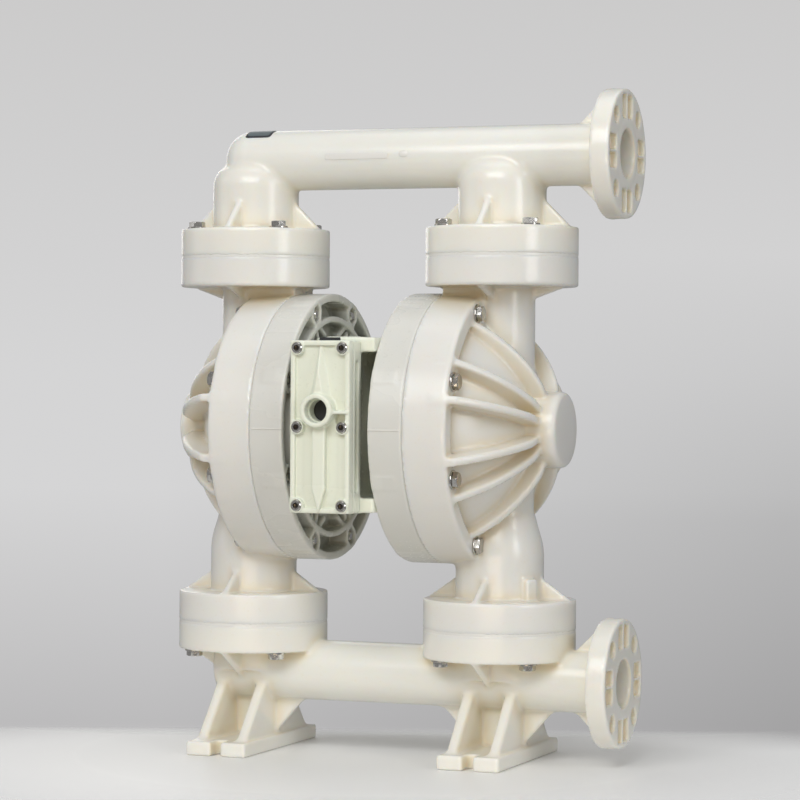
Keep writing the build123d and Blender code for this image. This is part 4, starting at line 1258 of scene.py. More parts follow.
        clay.add(soft_max(soft_max(blade, -self.blade_out - depth, 0.8), root), 0.6)
        shelf = slope(clay.x, depth, (self.half_x - 3.0, -1.5), (self.inlet_boss_r - 3.0, -11.0))
        shelf = soft_max(soft_max(shelf, np.abs(rise + 2.0) - self.shelf_half, 0.5), np.maximum(-clay.x, root))
        clay.add(soft_max(shelf, clay.x - self.half_x + 1.0), 0.8)
        notch_x, notch_deep, notch_rise = self.notch_place
        notch = brick((clay.x - notch_x, depth - notch_deep, rise - notch_rise), self.notch_half, 1.0)
        from_inlet = np.hypot(clay.x, rise)
        clay.cut(soft_max(notch, self.inlet_boss_r - from_inlet), 0.8)
        clay.add(bar(from_inlet, clay.y, self.inlet_boss_r, nose, back, 2.0), 3.0)
        clay.cut(bar(from_inlet, clay.y, self.inlet_r, nose - PAST, nose + self.inlet_deep, 0.5), 1.6)
        clay.cut(bar(from_inlet, clay.y, self.inlet_deep_r, nose, back + PAST))
        hole = (boss_y - PAST, boss_y + self.screw_hole_deep)
        for x, z in self.screws():
            clay.cut(bar(np.hypot(clay.x - x, clay.z - z), clay.y, self.screw_hole_r, *hole), 0.8)
        return clay

    def gaskets(self, shop: Shop) -> None:
        """Makes the two gaskets as sheets with soft edges, a little smaller than what they seal.

        The outline is a superellipse of a high power, and the rear one's middle stands out over the valve body.

        Args:
            shop: Where the pieces are finished.
        """
        c, s, square = superellipse(240, 40.0)
        middle_z, half_z = self.heights
        half_x, high_z = self.half_x - self.gasket_inset, half_z - self.gasket_inset
        tab_x, tab_half = self.tab
        shares = np.array([0.0, 0.994, 1.0, 1.0, 0.994, 0.0])[:, None]
        heights = np.array([0.0, 0.0, 0.25, self.gasket - 0.25, self.gasket, self.gasket])[:, None]
        for name, low, high in (("cover_gasket", self.front_y + self.cover_thick, 0.0),
                                ("valve_gasket", self.block_y[0] - self.gasket, self.tab_high)):
            x, z = c * square * half_x, s * square * high_z
            on_tab = (np.abs(x - tab_x) < tab_half) & (z > half_z / 2)
            z = z + np.where(on_tab, high + self.gasket_inset, 0.0)
            y = low + self.gasket - heights + 0 * x
            points = np.stack([shares * x, y, shares * z + middle_z], -1).reshape(-1, 3)
            piece = make_mesh(f"{name}_sheet", points / MM, grid_faces(len(shares), c.size), weld=True, sharp=40)
            shop.put(piece, "rubber", name)


@dataclass(frozen=True)
class Diaphragm:
    """A soft disc whose rim stays in the clamp while its middle follows the plates on the rod."""

    layout: Layout
    bore_r: float = 15.3
    roll_in_r: float = 64.0
    roll_out_r: float = 112.5
    roll_high: float = 6.0
    thick: float = 5.0
    rings: int = 20
    around: int = 96

    def build(self, shop: Shop, side: Side) -> None:
        """Makes one diaphragm.

        Its roll rises and falls as one cosine wave between two radii.

        Args:
            shop: Holds the finishes and slots.
            side: End of the rod.
        """
        node = f"diaphragm_{side.value}"
        low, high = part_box(node)
        inner_x, rim_r = min(abs(low[0]), abs(high[0])) * MM, (high[1] - low[1]) / 2 * MM
        shares = np.linspace(0, 1, self.rings)
        radii = [self.bore_r, *(self.roll_in_r + shares * (self.roll_out_r - self.roll_in_r)), rim_r]
        rises = [0.0, *(self.roll_high * (1 - np.cos(2 * math.pi * shares)) / 2), 0.0]
        air_side = list(zip(radii, rises))
        liquid_side = [(radius, rise + self.thick) for radius, rise in reversed(air_side)]
        disc = turned([*air_side, *liquid_side, air_side[0]], self.around)
        place = (side.sign * inner_x, 0.0, self.layout.shaft_z)
        points, quads = repeat(*disc, [facing((side.sign, 0, 0))], [place])
        piece = make_mesh(f"{node}_disc", points / MM, quads, weld=True, sharp=40)
        places = mesh_points(piece)
        distance = np.hypot(places[:, 1], places[:, 2] - self.layout.shaft_z / MM)
        line = np.stack([distance, 0 * distance, 0 * distance], 1)
        piece.data.vertices.foreach_set("co", line.ravel())
        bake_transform(piece)
        piece.data.vertices.foreach_set("co", places.ravel())
        piece.data.update()
        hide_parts(node)
        shop.finish(piece, INNER_FINISHES[shop.slots[node]], node)


@dataclass
class Fasteners:
    """Hexagon bolts with washers and nuts, and the cover's socket head screws."""

    layout: Layout
    motor: AirMotor
    bolt_r: float = 5.0
    flats: float = 17.0
    head: float = 6.4
    washer_r: float = 11.5
    washer: float = 2.0
    shank: float = 40.0
    nut_deep: float = 12.0
    socket_head_r: float = 6.5
    socket_flats: float = 6.2
    socket_corner: float = 3.59
    screw_deep: float = 7.0
    around: int = 36
    sharp: float = 32.0

    def head_profile(self) -> list[tuple[float, float]]:
        """Draws a bolt's shank and its head, with the chamfer of about 30 degrees on top.

        Returns:
            Rings from the shank's end to the head's middle, as radius and height.
        """
        rim = self.flats / 2 / math.cos(math.pi / 6) + 0.2
        face = self.flats / 2 * 0.95
        chamfer = [(rim - (rim - face) * share, self.head - (rim - face) * 0.55 * (1 - share))
                   for share in (0.0, 0.25, 0.5, 0.75, 1.0)]
        return [(0, -self.shank), (self.bolt_r, -self.shank), (self.bolt_r, 0), (face, 0), (rim, 0.3), *chamfer,
                (face * 0.9, self.head), (face * 0.82, self.head - 0.25), (0, self.head - 0.25)]

    def washer_profile(self) -> list[tuple[float, float]]:
        """Draws a washer with chamfered edges.

        Returns:
            Rings that close through its hole, as radius and height.
        """
        low, top, edge = 0.0, self.washer, 0.35
        inner = self.bolt_r + 0.3
        outer = self.washer_r
        return [(inner, low), (outer - edge, low), (outer, low + edge), (outer, top - edge), (outer - edge, top),
                (inner, top), (inner, low)]

    def nut_profile(self) -> list[tuple[float, float]]:
        """Draws a nut with chamfered ends, and the threaded end of the bolt standing out of it.

        Returns:
            Rings from the nut's bearing face to the bolt's end, as radius and height.
        """
        corner = self.flats / 2 / math.cos(math.pi / 6)
        tip = [(self.bolt_r - 0.5 * (i % 2), 8.0 + 0.45 * i) for i in range(6)]
        return [(0, 0), (corner - 0.6, 0), (corner + 0.2, 0.8), (corner + 0.2, 7.0), (corner - 0.9, 7.7),
                (self.flats / 2 * 0.93, 8.0), *tip, (self.bolt_r - 1.2, 11.0), (0, 11.0)]

    def screw_profile(self) -> list[tuple[float, float]]:
        """Rings of a socket head screw down to the rim of its socket, which is a hexagon of its own."""
        r = self.socket_head_r
        return [(0, 0), (r - 0.3, 0), (r, 0.3), (r, 7.0), (r - 0.9, 8.0), (3.6, 8.0)]

    def ring(self, shop: Shop, side: Side) -> None:
        """Makes one clamp ring's bolts, washers and nuts.

        Args:
            shop: Where the pieces are finished.
            side: End of the rod.
        """
        at = self.layout
        places = [(at.ring_x, y, z) for y, z in at.ring_bolts()]
        spins = [(37.0 * i) % 60 for i in range(len(places))]
        out = [facing((1, 0, 0), spin) for spin in spins]
        raised = [(x + self.washer, y, z) for x, y, z in places]
        inner = [(at.air_x + self.nut_deep, y, z) for _, y, z in places]
        inward = [facing((-1, 0, 0), spin + 20) for spin in spins]
        for kind, profile, axes, spots, flats in (
            ("bolts", self.head_profile(), out, raised, self.flats),
            ("washers", self.washer_profile(), out, places, 0.0),
            ("nuts", self.nut_profile(), inward, inner, self.flats),
        ):
            points, quads = repeat(*turned(profile, self.around, flats), axes, spots)
            name = f"chamber_{kind}_{side.value}"
            piece = make_mesh(f"{name}_set", side.place(points) / MM, quads, weld=True, sharp=self.sharp)
            shop.put(piece, "stainless", name)

    def joints(self, shop: Shop) -> None:
        """Makes the bolts and washers of the four manifold joints.

        Args:
            shop: Where the pieces are finished.
        """
        at = self.layout
        for name, face, up in (("discharge", at.top_face, 1), ("suction", at.low_face, -1)):
            places, offset = [], at.disc_bolt_r / math.sqrt(2)
            for x in (-at.riser_x, at.riser_x):
                places += [(x + a * offset, b * offset, face) for a in (-1, 1) for b in (-1, 1)]
            axes = [facing((0, 0, up), (41.0 * i) % 60) for i in range(len(places))]
            raised = [(x, y, z + up * self.washer) for x, y, z in places]
            for kind, profile, spots, flats in (("bolts", self.head_profile(), raised, self.flats),
                                                ("washers", self.washer_profile(), places, 0.0)):
                points, quads = repeat(*turned(profile, self.around, flats), axes, spots)
                piece = make_mesh(f"{name}_{kind}_set", points / MM, quads, weld=True, sharp=self.sharp)
                shop.put(piece, "stainless", f"{name}_{kind}")

    def cover(self, shop: Shop) -> None:
        """Makes the six socket head screws, each a turned head joined to the walls of its hexagon socket.

        Args:
            shop: Where the piece is finished.
        """
        motor = self.motor
        seat = motor.front_y - motor.screw_out + self.screw_deep
        places = [(x, seat, z) for x, z in motor.screws()]
        axes = [facing((0, -1, 0), (23.0 * i) % 60) for i in range(len(places))]
        rings = self.screw_profile() + [(3.4, 7.7), (3.4, 4.0), (0, 3.4)]
        points, quads = turned(rings, self.around)
        socket = points.reshape(len(rings), self.around, 3)
        hexagon = turned([(9.0, 0)], self.around, self.socket_flats)[0]
        socket[-3:-1, :, :2] = hexagon[:, :2]
        shank, shank_quads = turned([(0, -30.0), (4.0, -30.0), (4.0, 0.5), (0, 0.5)], 24)
        quads = np.concatenate([quads, shank_quads + len(points)])
        points = np.concatenate([socket.reshape(-1, 3), shank])
        points, quads = repeat(points, quads, axes, places)
        piece = make_mesh("cover_screws_set", points / MM, quads, weld=True, sharp=self.sharp)
        # The inside of each socket is marked for painted shade, which the stainless finish paints near black.
        place = mesh_points(piece).astype(float) * MM
        away = np.min([np.hypot(place[:, 0] - x, place[:, 2] - z) for x, z in motor.screws()], axis=0)
        inside = (away < self.socket_corner) & (place[:, 1] > seat - 7.9) & (place[:, 1] < seat - 3.0)
        set_values(piece, "hollow_shade", inside)
        shop.put(piece, "stainless", "cover_screws")


def empty_graph(owner: bpy.types.Material | bpy.types.World) -> "Graph":
    """Turns on the nodes of a material or of a world and clears them.

    Args:
        owner: The new material or world.

    Returns:
        Graph that its nodes are built with.
    """
    owner.use_nodes = True
    owner.node_tree.nodes.clear()
    return Graph(owner.node_tree)


class Graph:
    """Short way to place and join shader nodes in one tree."""

    def __init__(self, tree: bpy.types.NodeTree) -> None:
        """Keeps the tree that is built."""
        self.tree = tree

    def node(
        self, kind: str, links: Mapping[int | str, object] | None = None, **settings: object
    ) -> bpy.types.Node:
        """Adds a node, sets its properties, and sets or links its inputs.

        Args:
            kind: Type of the node.
            links: Value or output socket for each input, by name or number.
            settings: Properties of the node.

        Returns:
            The node.
        """
        made = self.tree.nodes.new(kind)
        for name, value in settings.items():
            setattr(made, name, value)
        for key, value in (links or {}).items():
            if isinstance(value, bpy.types.NodeSocket):
                self.tree.links.new(value, made.inputs[key])
            else:
                made.inputs[key].default_value = value
        return made

    def math(self, operation: str, *values: object) -> bpy.types.NodeSocket:
        """Result of one Math node, which isn't held between 0 and 1."""
        return self.node("ShaderNodeMath", dict(enumerate(values)), operation=operation).outputs[0]

    def along(self, place: object, direction: tuple[float, float, float]) -> bpy.types.NodeSocket:
        """How far a place lies in a direction."""
        links = {0: place, 1: direction}
        return self.node("ShaderNodeVectorMath", links, operation="DOT_PRODUCT").outputs["Value"]

    def group(self, tree: bpy.types.NodeTree, values: Mapping[str, float]) -> bpy.types.NodeOutputs:
        """Places a node group.

        Args:
            tree: The group's tree.
            values: Number for each of its inputs that isn't left at its default.

        Returns:
            The group's outputs.
        """
        made = self.node("ShaderNodeGroup")
        made.node_tree = tree
        for label, value in values.items():
            made.inputs[label].default_value = value
        return made.outputs

    def spread(self, value: object, low: object, high: object, start: object = 0.0,
               end: object = 1.0) -> bpy.types.NodeSocket:
        """Value carried from between low and high to between start and end, and held there."""
        links = {"Value": value, "From Min": low, "From Max": high, "To Min": start, "To Max": end}
        return self.node("ShaderNodeMapRange", links).outputs[0]

    def mix(self, share: object, first: object, second: object) -> bpy.types.NodeSocket:
        """Colour between two colours."""
        return self.node("ShaderNodeMix", {0: share, 6: first, 7: second}, data_type="RGBA").outputs[2]

    def noise(self, place: object, scale: object, detail: float = 2.0) -> bpy.types.NodeSocket:
        """Smooth noise, about 0.5 on the mean."""
        made = self.node("ShaderNodeTexNoise", {"Vector": place, "Scale": scale, "Detail": detail})
        return made.outputs["Fac"]


class Group:
    """A shader node group with named inputs and outputs."""

    def __init__(self, name: str, inputs: Mapping[str, float], outputs: Mapping[str, str]) -> None:
        """Makes the group's tree and its sockets.

        Args:
            name: Name of the group.
            inputs: Default value of each number that the group takes.
            outputs: Kind of each socket that it puts out.
        """
        self.tree = bpy.data.node_groups.new(name, "ShaderNodeTree")
        for label, value in inputs.items():
            socket = self.tree.interface.new_socket(label, in_out="INPUT", socket_type="NodeSocketFloat")
            socket.default_value = value
        for label, kind in outputs.items():
            self.tree.interface.new_socket(label, in_out="OUTPUT", socket_type=kind)
        self.graph = Graph(self.tree)
        self.inputs = self.tree.nodes.new("NodeGroupInput").outputs
        self.result = self.tree.nodes.new("NodeGroupOutput").inputs
        self.place = self.graph.node("ShaderNodeTexCoord").outputs["Object"]

    def give(self, label: str, socket: bpy.types.NodeSocket) -> None:
        """Joins a socket to one of the group's outputs."""
        self.tree.links.new(socket, self.result[label])


class Effects:
    """The node groups that several finishes share."""

    def __init__(self) -> None:
        """Builds each group once."""
        self.grain = self._grain()
        self.cloud = self._cloud()
        self.shape = self._shape()
        self.specks = self._specks()

    @staticmethod
    def _grain() -> bpy.types.NodeTree:
        """Builds the unevenness of a surface from a fine noise and a coarse one.

        Returns:
            Group that puts out a bumped normal.
        """
        group = Group("surface_grain", {"Size": 900.0, "Height": 0.00004, "Strength": 0.5},
                      {"Normal": "NodeSocketVector"})
        graph = group.graph
        coarse = graph.noise(group.place, graph.math("MULTIPLY", group.inputs["Size"], 0.12))
        fine = graph.noise(group.place, group.inputs["Size"])
        height = graph.math("ADD", graph.math("MULTIPLY", coarse, 2.0), fine)
        links = {"Strength": group.inputs["Strength"], "Distance": group.inputs["Height"], "Height": height}
        group.give("Normal", graph.node("ShaderNodeBump", links).outputs["Normal"])
        return group.tree

    @staticmethod
    def _cloud() -> bpy.types.NodeTree:
        """Builds a slow change over the surface, with streaks that are drawn out along X.

        Returns:
            Group that puts out a mask from 0 to 1.
        """
        group = Group("milky_cloud", {"Size": 7.0, "Stretch": 0.4}, {"Mask": "NodeSocketFloat"})
        graph = group.graph
        scale = graph.node("ShaderNodeCombineXYZ", {0: group.inputs["Stretch"], 1: 1.0, 2: 1.0}).outputs[0]
        place = graph.node("ShaderNodeVectorMath", {0: group.place, 1: scale}, operation="MULTIPLY").outputs[0]
        cloud = graph.noise(place, group.inputs["Size"], 4.0)
        group.give("Mask", graph.spread(cloud, 0.3, 0.7))
        return group.tree

    @staticmethod
    def _shape() -> bpy.types.NodeTree:
        """Builds the masks of painted shade in hollows and of lighter edges, which stand for wear and for a painted
        glow of the translucent edge, from the values that the modelled pieces carry.

        Returns:
            Group that puts out the two masks, broken up by a noise.
        """
        group = Group("hollow_shade_and_edges", {"Size": 60.0, "Uneven": 0.5},
                      {"Hollow Shade": "NodeSocketFloat", "Edge": "NodeSocketFloat"})
        graph = group.graph
        hollow_shade = graph.node("ShaderNodeAttribute", attribute_name="hollow_shade").outputs["Fac"]
        edge = graph.node("ShaderNodeAttribute", attribute_name="edge").outputs["Fac"]
        rough = graph.noise(group.place, group.inputs["Size"], 3.0)
        keep = graph.math("SUBTRACT", 1.0, graph.math("MULTIPLY", group.inputs["Uneven"], rough))
        # Painted shade in hollows, broken up by the noise.
        group.give("Hollow Shade", graph.math("MULTIPLY", graph.spread(hollow_shade, 0.1, 0.8), keep))
        group.give("Edge", graph.math("MULTIPLY", graph.spread(edge, 0.25, 0.8), keep))
        return group.tree

    @staticmethod
    def _specks() -> bpy.types.NodeTree:
        """Builds scattered small marks, such as dust or scuffs, from the peaks of a noise.

        Returns:
            Group that puts out a mask.
        """
        group = Group("scattered_marks", {"Size": 260.0, "Rare": 0.66}, {"Mask": "NodeSocketFloat"})
        graph = group.graph
        marks = graph.noise(group.place, group.inputs["Size"], 1.0)
        high = graph.math("ADD", group.inputs["Rare"], 0.06)
        group.give("Mask", graph.spread(marks, group.inputs["Rare"], high))
        return group.tree


@dataclass(frozen=True)
class Finish:
    """How one material looks: colours, gloss, unevenness, light that spreads below the surface, painted shade in
    hollows, and lighter edges that are partly wear and partly a painted glow.
    """

    name: str
    colour: tuple[float, float, float]
    # Colour of the scattered marks, and of the painted shade in hollows.
    shade_and_marks_colour: tuple[float, float, float]
    # Colour of lighter edges: partly wear, partly a painted glow.
    edge_wear_and_glow_colour: tuple[float, float, float]
    # Share of the painted shade in hollows.
    hollow_shade: float = 0.6
    edge: float = 0.3
    mottle: float = 0.05
    gloss: tuple[float, float] = (0.34, 0.46)
    metal: float = 0.0
    below: float = 0.0
    below_reach: tuple[float, float, float] = (1.0, 0.75, 0.5)
    below_scale: float = 0.012
    grain_size: float = 900.0
    grain_height: float = 0.00004
    cloud_size: float = 7.0
    cloud_stretch: float = 0.4
    uneven: float = 0.35
    marks: float = 0.1
    marks_dull: float = 0.4

    def build(self, effects: Effects) -> bpy.types.Material:
        """Makes the material from the shared groups.

        Args:
            effects: The node groups.

        Returns:
            The material.
        """
        material = bpy.data.materials.new(self.name)
        graph = empty_graph(material)
        cloud = graph.group(effects.cloud, {"Size": self.cloud_size, "Stretch": self.cloud_stretch})["Mask"]
        shape = graph.group(effects.shape, {"Uneven": self.uneven})
        marks = graph.group(effects.specks, {})["Mask"]
        normal = graph.group(effects.grain, {"Size": self.grain_size, "Height": self.grain_height})["Normal"]
        pale, deep = (*self.colour, 1.0), tuple(c * (1 - self.mottle) for c in self.colour) + (1.0,)
        colour = graph.mix(cloud, pale, deep)
        # Marks and the painted shade in hollows share one colour; edges are lightened, partly as wear and partly as a
        # painted glow.
        for mask, share, shade in ((marks, self.marks, self.shade_and_marks_colour),
                                   (shape["Hollow Shade"], self.hollow_shade, self.shade_and_marks_colour),
                                   (shape["Edge"], self.edge, self.edge_wear_and_glow_colour)):
            colour = graph.mix(graph.math("MULTIPLY", mask, share), colour, (*shade, 1.0))
        dull = graph.math("ADD", cloud, graph.math("MULTIPLY", marks, self.marks_dull))
        rough = graph.spread(dull, 0.0, 1.2, *self.gloss)
        links = {"Base Color": colour, "Roughness": rough, "Normal": normal, "Metallic": self.metal}
        if self.below:
            links |= {"Subsurface Weight": self.below, "Subsurface Radius": self.below_reach,
                      "Subsurface Scale": self.below_scale}
        shader = graph.node("ShaderNodeBsdfPrincipled", links)
        graph.node("ShaderNodeOutputMaterial", {"Surface": shader.outputs[0]})
        return material


# The second colour of each finish is that of its marks and of the painted shade in its hollows; the third lightens
# its edges as wear and painted glow. Stainless paints its screws' sockets dark as painted shade.
FINISHES = (
    Finish("manifold_polypropylene", (0.868, 0.855, 0.795), (0.82, 0.70, 0.46), (0.90, 0.89, 0.85),
           hollow_shade=0.75, edge=0.3, mottle=0.05, gloss=(0.16, 0.26), below=0.4, below_scale=0.014),
    Finish("chamber_polypropylene", (0.83, 0.822, 0.785), (0.73, 0.625, 0.42), (0.865, 0.86, 0.84),
           hollow_shade=0.85, edge=0.3, mottle=0.05, gloss=(0.17, 0.27), below=0.4, below_scale=0.014),
    Finish("thin_polypropylene", (0.81, 0.80, 0.765), (0.80, 0.69, 0.47), (0.88, 0.875, 0.85),
           mottle=0.05, gloss=(0.17, 0.27)),
    Finish("pale_ring_polypropylene", (0.73, 0.73, 0.69), (0.33, 0.34, 0.28), (0.80, 0.80, 0.76),
           hollow_shade=0.7, edge=0.3, mottle=0.04, gloss=(0.22, 0.34), below=0.15, below_scale=0.006),
    Finish("green_grey_polypropylene", (0.86, 0.89, 0.765), (0.36, 0.39, 0.27), (0.88, 0.91, 0.81),
           hollow_shade=0.25, edge=0.35, mottle=0.04, gloss=(0.22, 0.34), below=0.1, below_scale=0.005),
    Finish("stainless", (0.62, 0.605, 0.575), (0.07, 0.06, 0.05), (0.7, 0.69, 0.67), hollow_shade=1.3, edge=0.3,
           mottle=0.2, gloss=(0.12, 0.22), metal=1.0, grain_size=2600.0, grain_height=0.00003, cloud_size=160.0,
           cloud_stretch=1.0, marks=0.3),
    Finish("rubber", (0.022, 0.022, 0.024), (0.01, 0.01, 0.01), (0.05, 0.05, 0.05), gloss=(0.6, 0.8),
           mottle=0.2, cloud_size=60.0, grain_size=1500.0),
    Finish("ptfe", (0.83, 0.83, 0.81), (0.6, 0.6, 0.57), (0.88, 0.88, 0.87), gloss=(0.35, 0.5), below=0.2),
    Finish("ground_steel", (0.56, 0.56, 0.55), (0.3, 0.3, 0.3), (0.7, 0.7, 0.7), gloss=(0.16, 0.28), metal=1.0,
           grain_size=3000.0, cloud_size=40.0, cloud_stretch=0.1),
    Finish("bearing_bronze", (0.56, 0.42, 0.22), (0.3, 0.2, 0.1), (0.7, 0.55, 0.32), gloss=(0.28, 0.42), metal=1.0,
           grain_size=2400.0, cloud_size=50.0),
    Finish("anodised_aluminium", (0.6, 0.61, 0.62), (0.4, 0.4, 0.41), (0.75, 0.75, 0.76), gloss=(0.3, 0.42),
           metal=1.0, grain_size=2400.0, cloud_size=50.0),
    Finish("dark_plate", (0.030, 0.034, 0.042), (0.02, 0.02, 0.02), (0.1, 0.1, 0.11), gloss=(0.35, 0.5),
           mottle=0.3, cloud_size=90.0),
    Finish("slate_plate", (0.13, 0.165, 0.175), (0.04, 0.05, 0.05), (0.2, 0.22, 0.23), gloss=(0.3, 0.45),
           mottle=0.2, cloud_size=90.0),
)

INNER_FINISHES = {
    "white_ptfe": "ptfe",
    "stainless_rod": "ground_steel",
    "white_plate": "chamber_polypropylene",
    "bronze_sleeve": "bearing_bronze",
    "valve_aluminium": "anodised_aluminium",
    "natural_polypropylene": "manifold_polypropylene",
    "filled_polypropylene": "green_grey_polypropylene",
    "stainless_fasteners": "stainless",
    "black_gasket": "rubber",
}


@dataclass(frozen=True)
class Viewpoint:
    """The photograph's camera: its place in metres, its angles in degrees and its focal length in pixels."""

    place: tuple[float, float, float] = (1.32076, -3.29731, 0.46226)
    turn: float = 21.36
    down: float = 0.56
    roll: float = 0.39
    focal: float = 2937.97
    sensor: float = 36.0

    def build(self) -> None:
        """Makes the camera, whose axes are the columns of its matrix."""
        a, e, r = (math.radians(angle) for angle in (self.turn, self.down, self.roll))
        back = Vector((math.sin(a) * math.cos(e), -math.cos(a) * math.cos(e), math.sin(e)))
        right = Vector((math.cos(a), math.sin(a), 0))
        up = back.cross(right)
        across = right * math.cos(r) + up * math.sin(r)
        above = up * math.cos(r) - right * math.sin(r)
        data = bpy.data.cameras.new("viewpoint")
        data.sensor_width = self.sensor
        data.lens = self.focal * self.sensor / PHOTO_PIXELS
        camera = in_scene("viewpoint", data)
        camera.matrix_world = Matrix((across, above, back)).transposed().to_4x4()
        camera.location = self.place
        bpy.context.scene.camera = camera


@dataclass(frozen=True)
class Softbox:
    """One rectangular lamp that faces the pump."""

    name: str
    place: tuple[float, float, float]
    size: tuple[float, float]
    power: float
    colour: tuple[float, float, float] = (1.0, 1.0, 1.0)
    shine: float = 1.0
    aim: tuple[float, float, float] = (0.0, 0.0, 0.4)

    def build(self) -> None:
        """Makes the lamp."""
        data = bpy.data.lights.new(self.name, "AREA")
        data.shape = "RECTANGLE"
        data.size, data.size_y = self.size
        data.energy, data.color, data.specular_factor = self.power, self.colour, self.shine
        lamp = in_scene(self.name, data)
        lamp.location = self.place
        direction = Vector(self.aim) - Vector(self.place)
        lamp.rotation_euler = direction.to_track_quat("-Z", "Y").to_euler()


@dataclass(frozen=True)
class Studio:
    """Pale floor, pale grey surroundings, and soft light from the front, the right and above."""

    lamps: tuple[Softbox, ...] = (
        Softbox("key", (0.1, -2.7, 2.2), (2.5, 1.3), 54.0, (0.98, 0.99, 1.0)),
        Softbox("right", (2.8, -1.25, 1.1), (0.9, 1.2), 17.0, (0.98, 0.99, 1.0), 0.3),
        Softbox("left", (-2.5, -0.7, 1.2), (1.2, 1.6), 4.0, shine=0.1),
        Softbox("low", (0.42, -2.4, 0.16), (1.6, 0.25), 8.0, (1.0, 0.80, 0.55)),
        Softbox("top", (0.2, 0.1, 2.6), (1.8, 1.8), 9.0, shine=0.3),
        Softbox("back", (-1.6, 2.0, 1.4), (1.2, 1.8), 8.0, (1.0, 0.98, 0.95), 0.1),
    )
    floor_colour: tuple[float, float, float, float] = (0.93, 0.93, 0.92, 1.0)
    floor_rough: float = 0.45
    fade: tuple[float, float] = (0.36, 0.62)
    far_edge: tuple[float, float] = (0.16, 0.25)
    behind: tuple[float, float, float] = (-0.364, 0.931, 0.0)
    across: tuple[float, float, float] = (0.931, 0.364, 0.0)
    near: tuple[float, float, float, float] = (0.690, 0.690, 0.690, 1.0)
    dark: tuple[float, float, float, float] = (0.505, 0.500, 0.505, 1.0)
    light: tuple[float, float, float, float] = (0.665, 0.663, 0.667, 1.0)
    top: tuple[float, float, float, float] = (0.595, 0.590, 0.588, 1.0)
    horizon: tuple[float, float] = (-0.1205, -0.1265)
    low_rise: tuple[float, float] = (-0.118, -0.04)
    high_rise: tuple[float, float] = (0.0, 0.14)
    shade_side: tuple[float, float] = (-0.08, 0.13)
    shade_fall: tuple[float, float] = (0.04, -0.05)
    right_shade: float = 0.74
    fill: float = 0.26
    mirrored: float = 0.5

    def build(self) -> None:
        """Makes lamps, surroundings and floor."""
        for lamp in self.lamps:
            lamp.build()
        self._surroundings()
        self._floor()

    def _surroundings(self) -> None:
        """Makes a world that shows a grey backdrop over a pale ground, and lights the pump evenly.

        The backdrop's grey follows the height of a direction, and grows darker to the right below the middle.
        """
        world = bpy.data.worlds.new("surroundings")
        graph = empty_graph(world)
        place = graph.node("ShaderNodeTexCoord").outputs["Generated"]
        height = graph.node("ShaderNodeSeparateXYZ", {0: place}).outputs[2]
        side = graph.spread(graph.along(place, self.across), *self.shade_side)
        rising = graph.mix(graph.spread(height, *self.low_rise), self.dark, self.light)
        upper = graph.mix(graph.spread(height, *self.high_rise), rising, self.top)
        ground = graph.spread(height, *self.horizon)
        shown = graph.mix(ground, upper, self.near)
        shade = graph.math("MULTIPLY", side, graph.spread(height, *self.shade_fall))
        shade = graph.math("MULTIPLY", shade, graph.math("SUBTRACT", 1.0, ground))
        shade = graph.spread(shade, 0.0, 1.0, 1.0, self.right_shade)
        path = graph.node("ShaderNodeLightPath").outputs
        direct = graph.math("MAXIMUM", path["Is Camera Ray"], path["Is Transmission Ray"])
        seen = graph.math("MAXIMUM", direct, path["Is Glossy Ray"])
        colour = graph.mix(seen, (1.0, 1.0, 1.0, 1.0), shown)
        mirrored = graph.math("MULTIPLY", path["Is Glossy Ray"], graph.math("MULTIPLY", shade, self.mirrored))
        strength = graph.spread(direct, 0.0, 1.0, graph.math("MAXIMUM", mirrored, self.fill), shade)
        surroundings = graph.node("ShaderNodeBackground", {"Color": colour, "Strength": strength})
        graph.node("ShaderNodeOutputWorld", {"Surface": surroundings.outputs[0]})
        bpy.context.scene.world = world

    def _floor(self) -> None:
        """Makes a round floor that grows see-through away from the pump and behind it, and ends in the ground."""
        points, quads = turned([(0, 0), (0.3, 0), (0.6, 0), (1.2, 0)], 96)
        floor = make_mesh("studio_floor", points, quads[:, ::-1], weld=True)
        material = bpy.data.materials.new("studio_floor")
        graph = empty_graph(material)
        place = graph.node("ShaderNodeTexCoord").outputs["Object"]
        away = graph.node("ShaderNodeVectorMath", {0: place}, operation="LENGTH").outputs["Value"]
        behind = graph.spread(graph.along(place, self.behind), *self.far_edge)
        fade = graph.math("MAXIMUM", graph.spread(away, *self.fade), behind)
        links = {"Base Color": self.floor_colour, "Roughness": self.floor_rough}
        paper = graph.node("ShaderNodeBsdfPrincipled", links)
        clear = graph.node("ShaderNodeBsdfTransparent")
        blend = graph.node("ShaderNodeMixShader", {0: fade, 1: paper.outputs[0], 2: clear.outputs[0]})
        graph.node("ShaderNodeOutputMaterial", {"Surface": blend.outputs[0]})
        floor.data.materials.append(material)


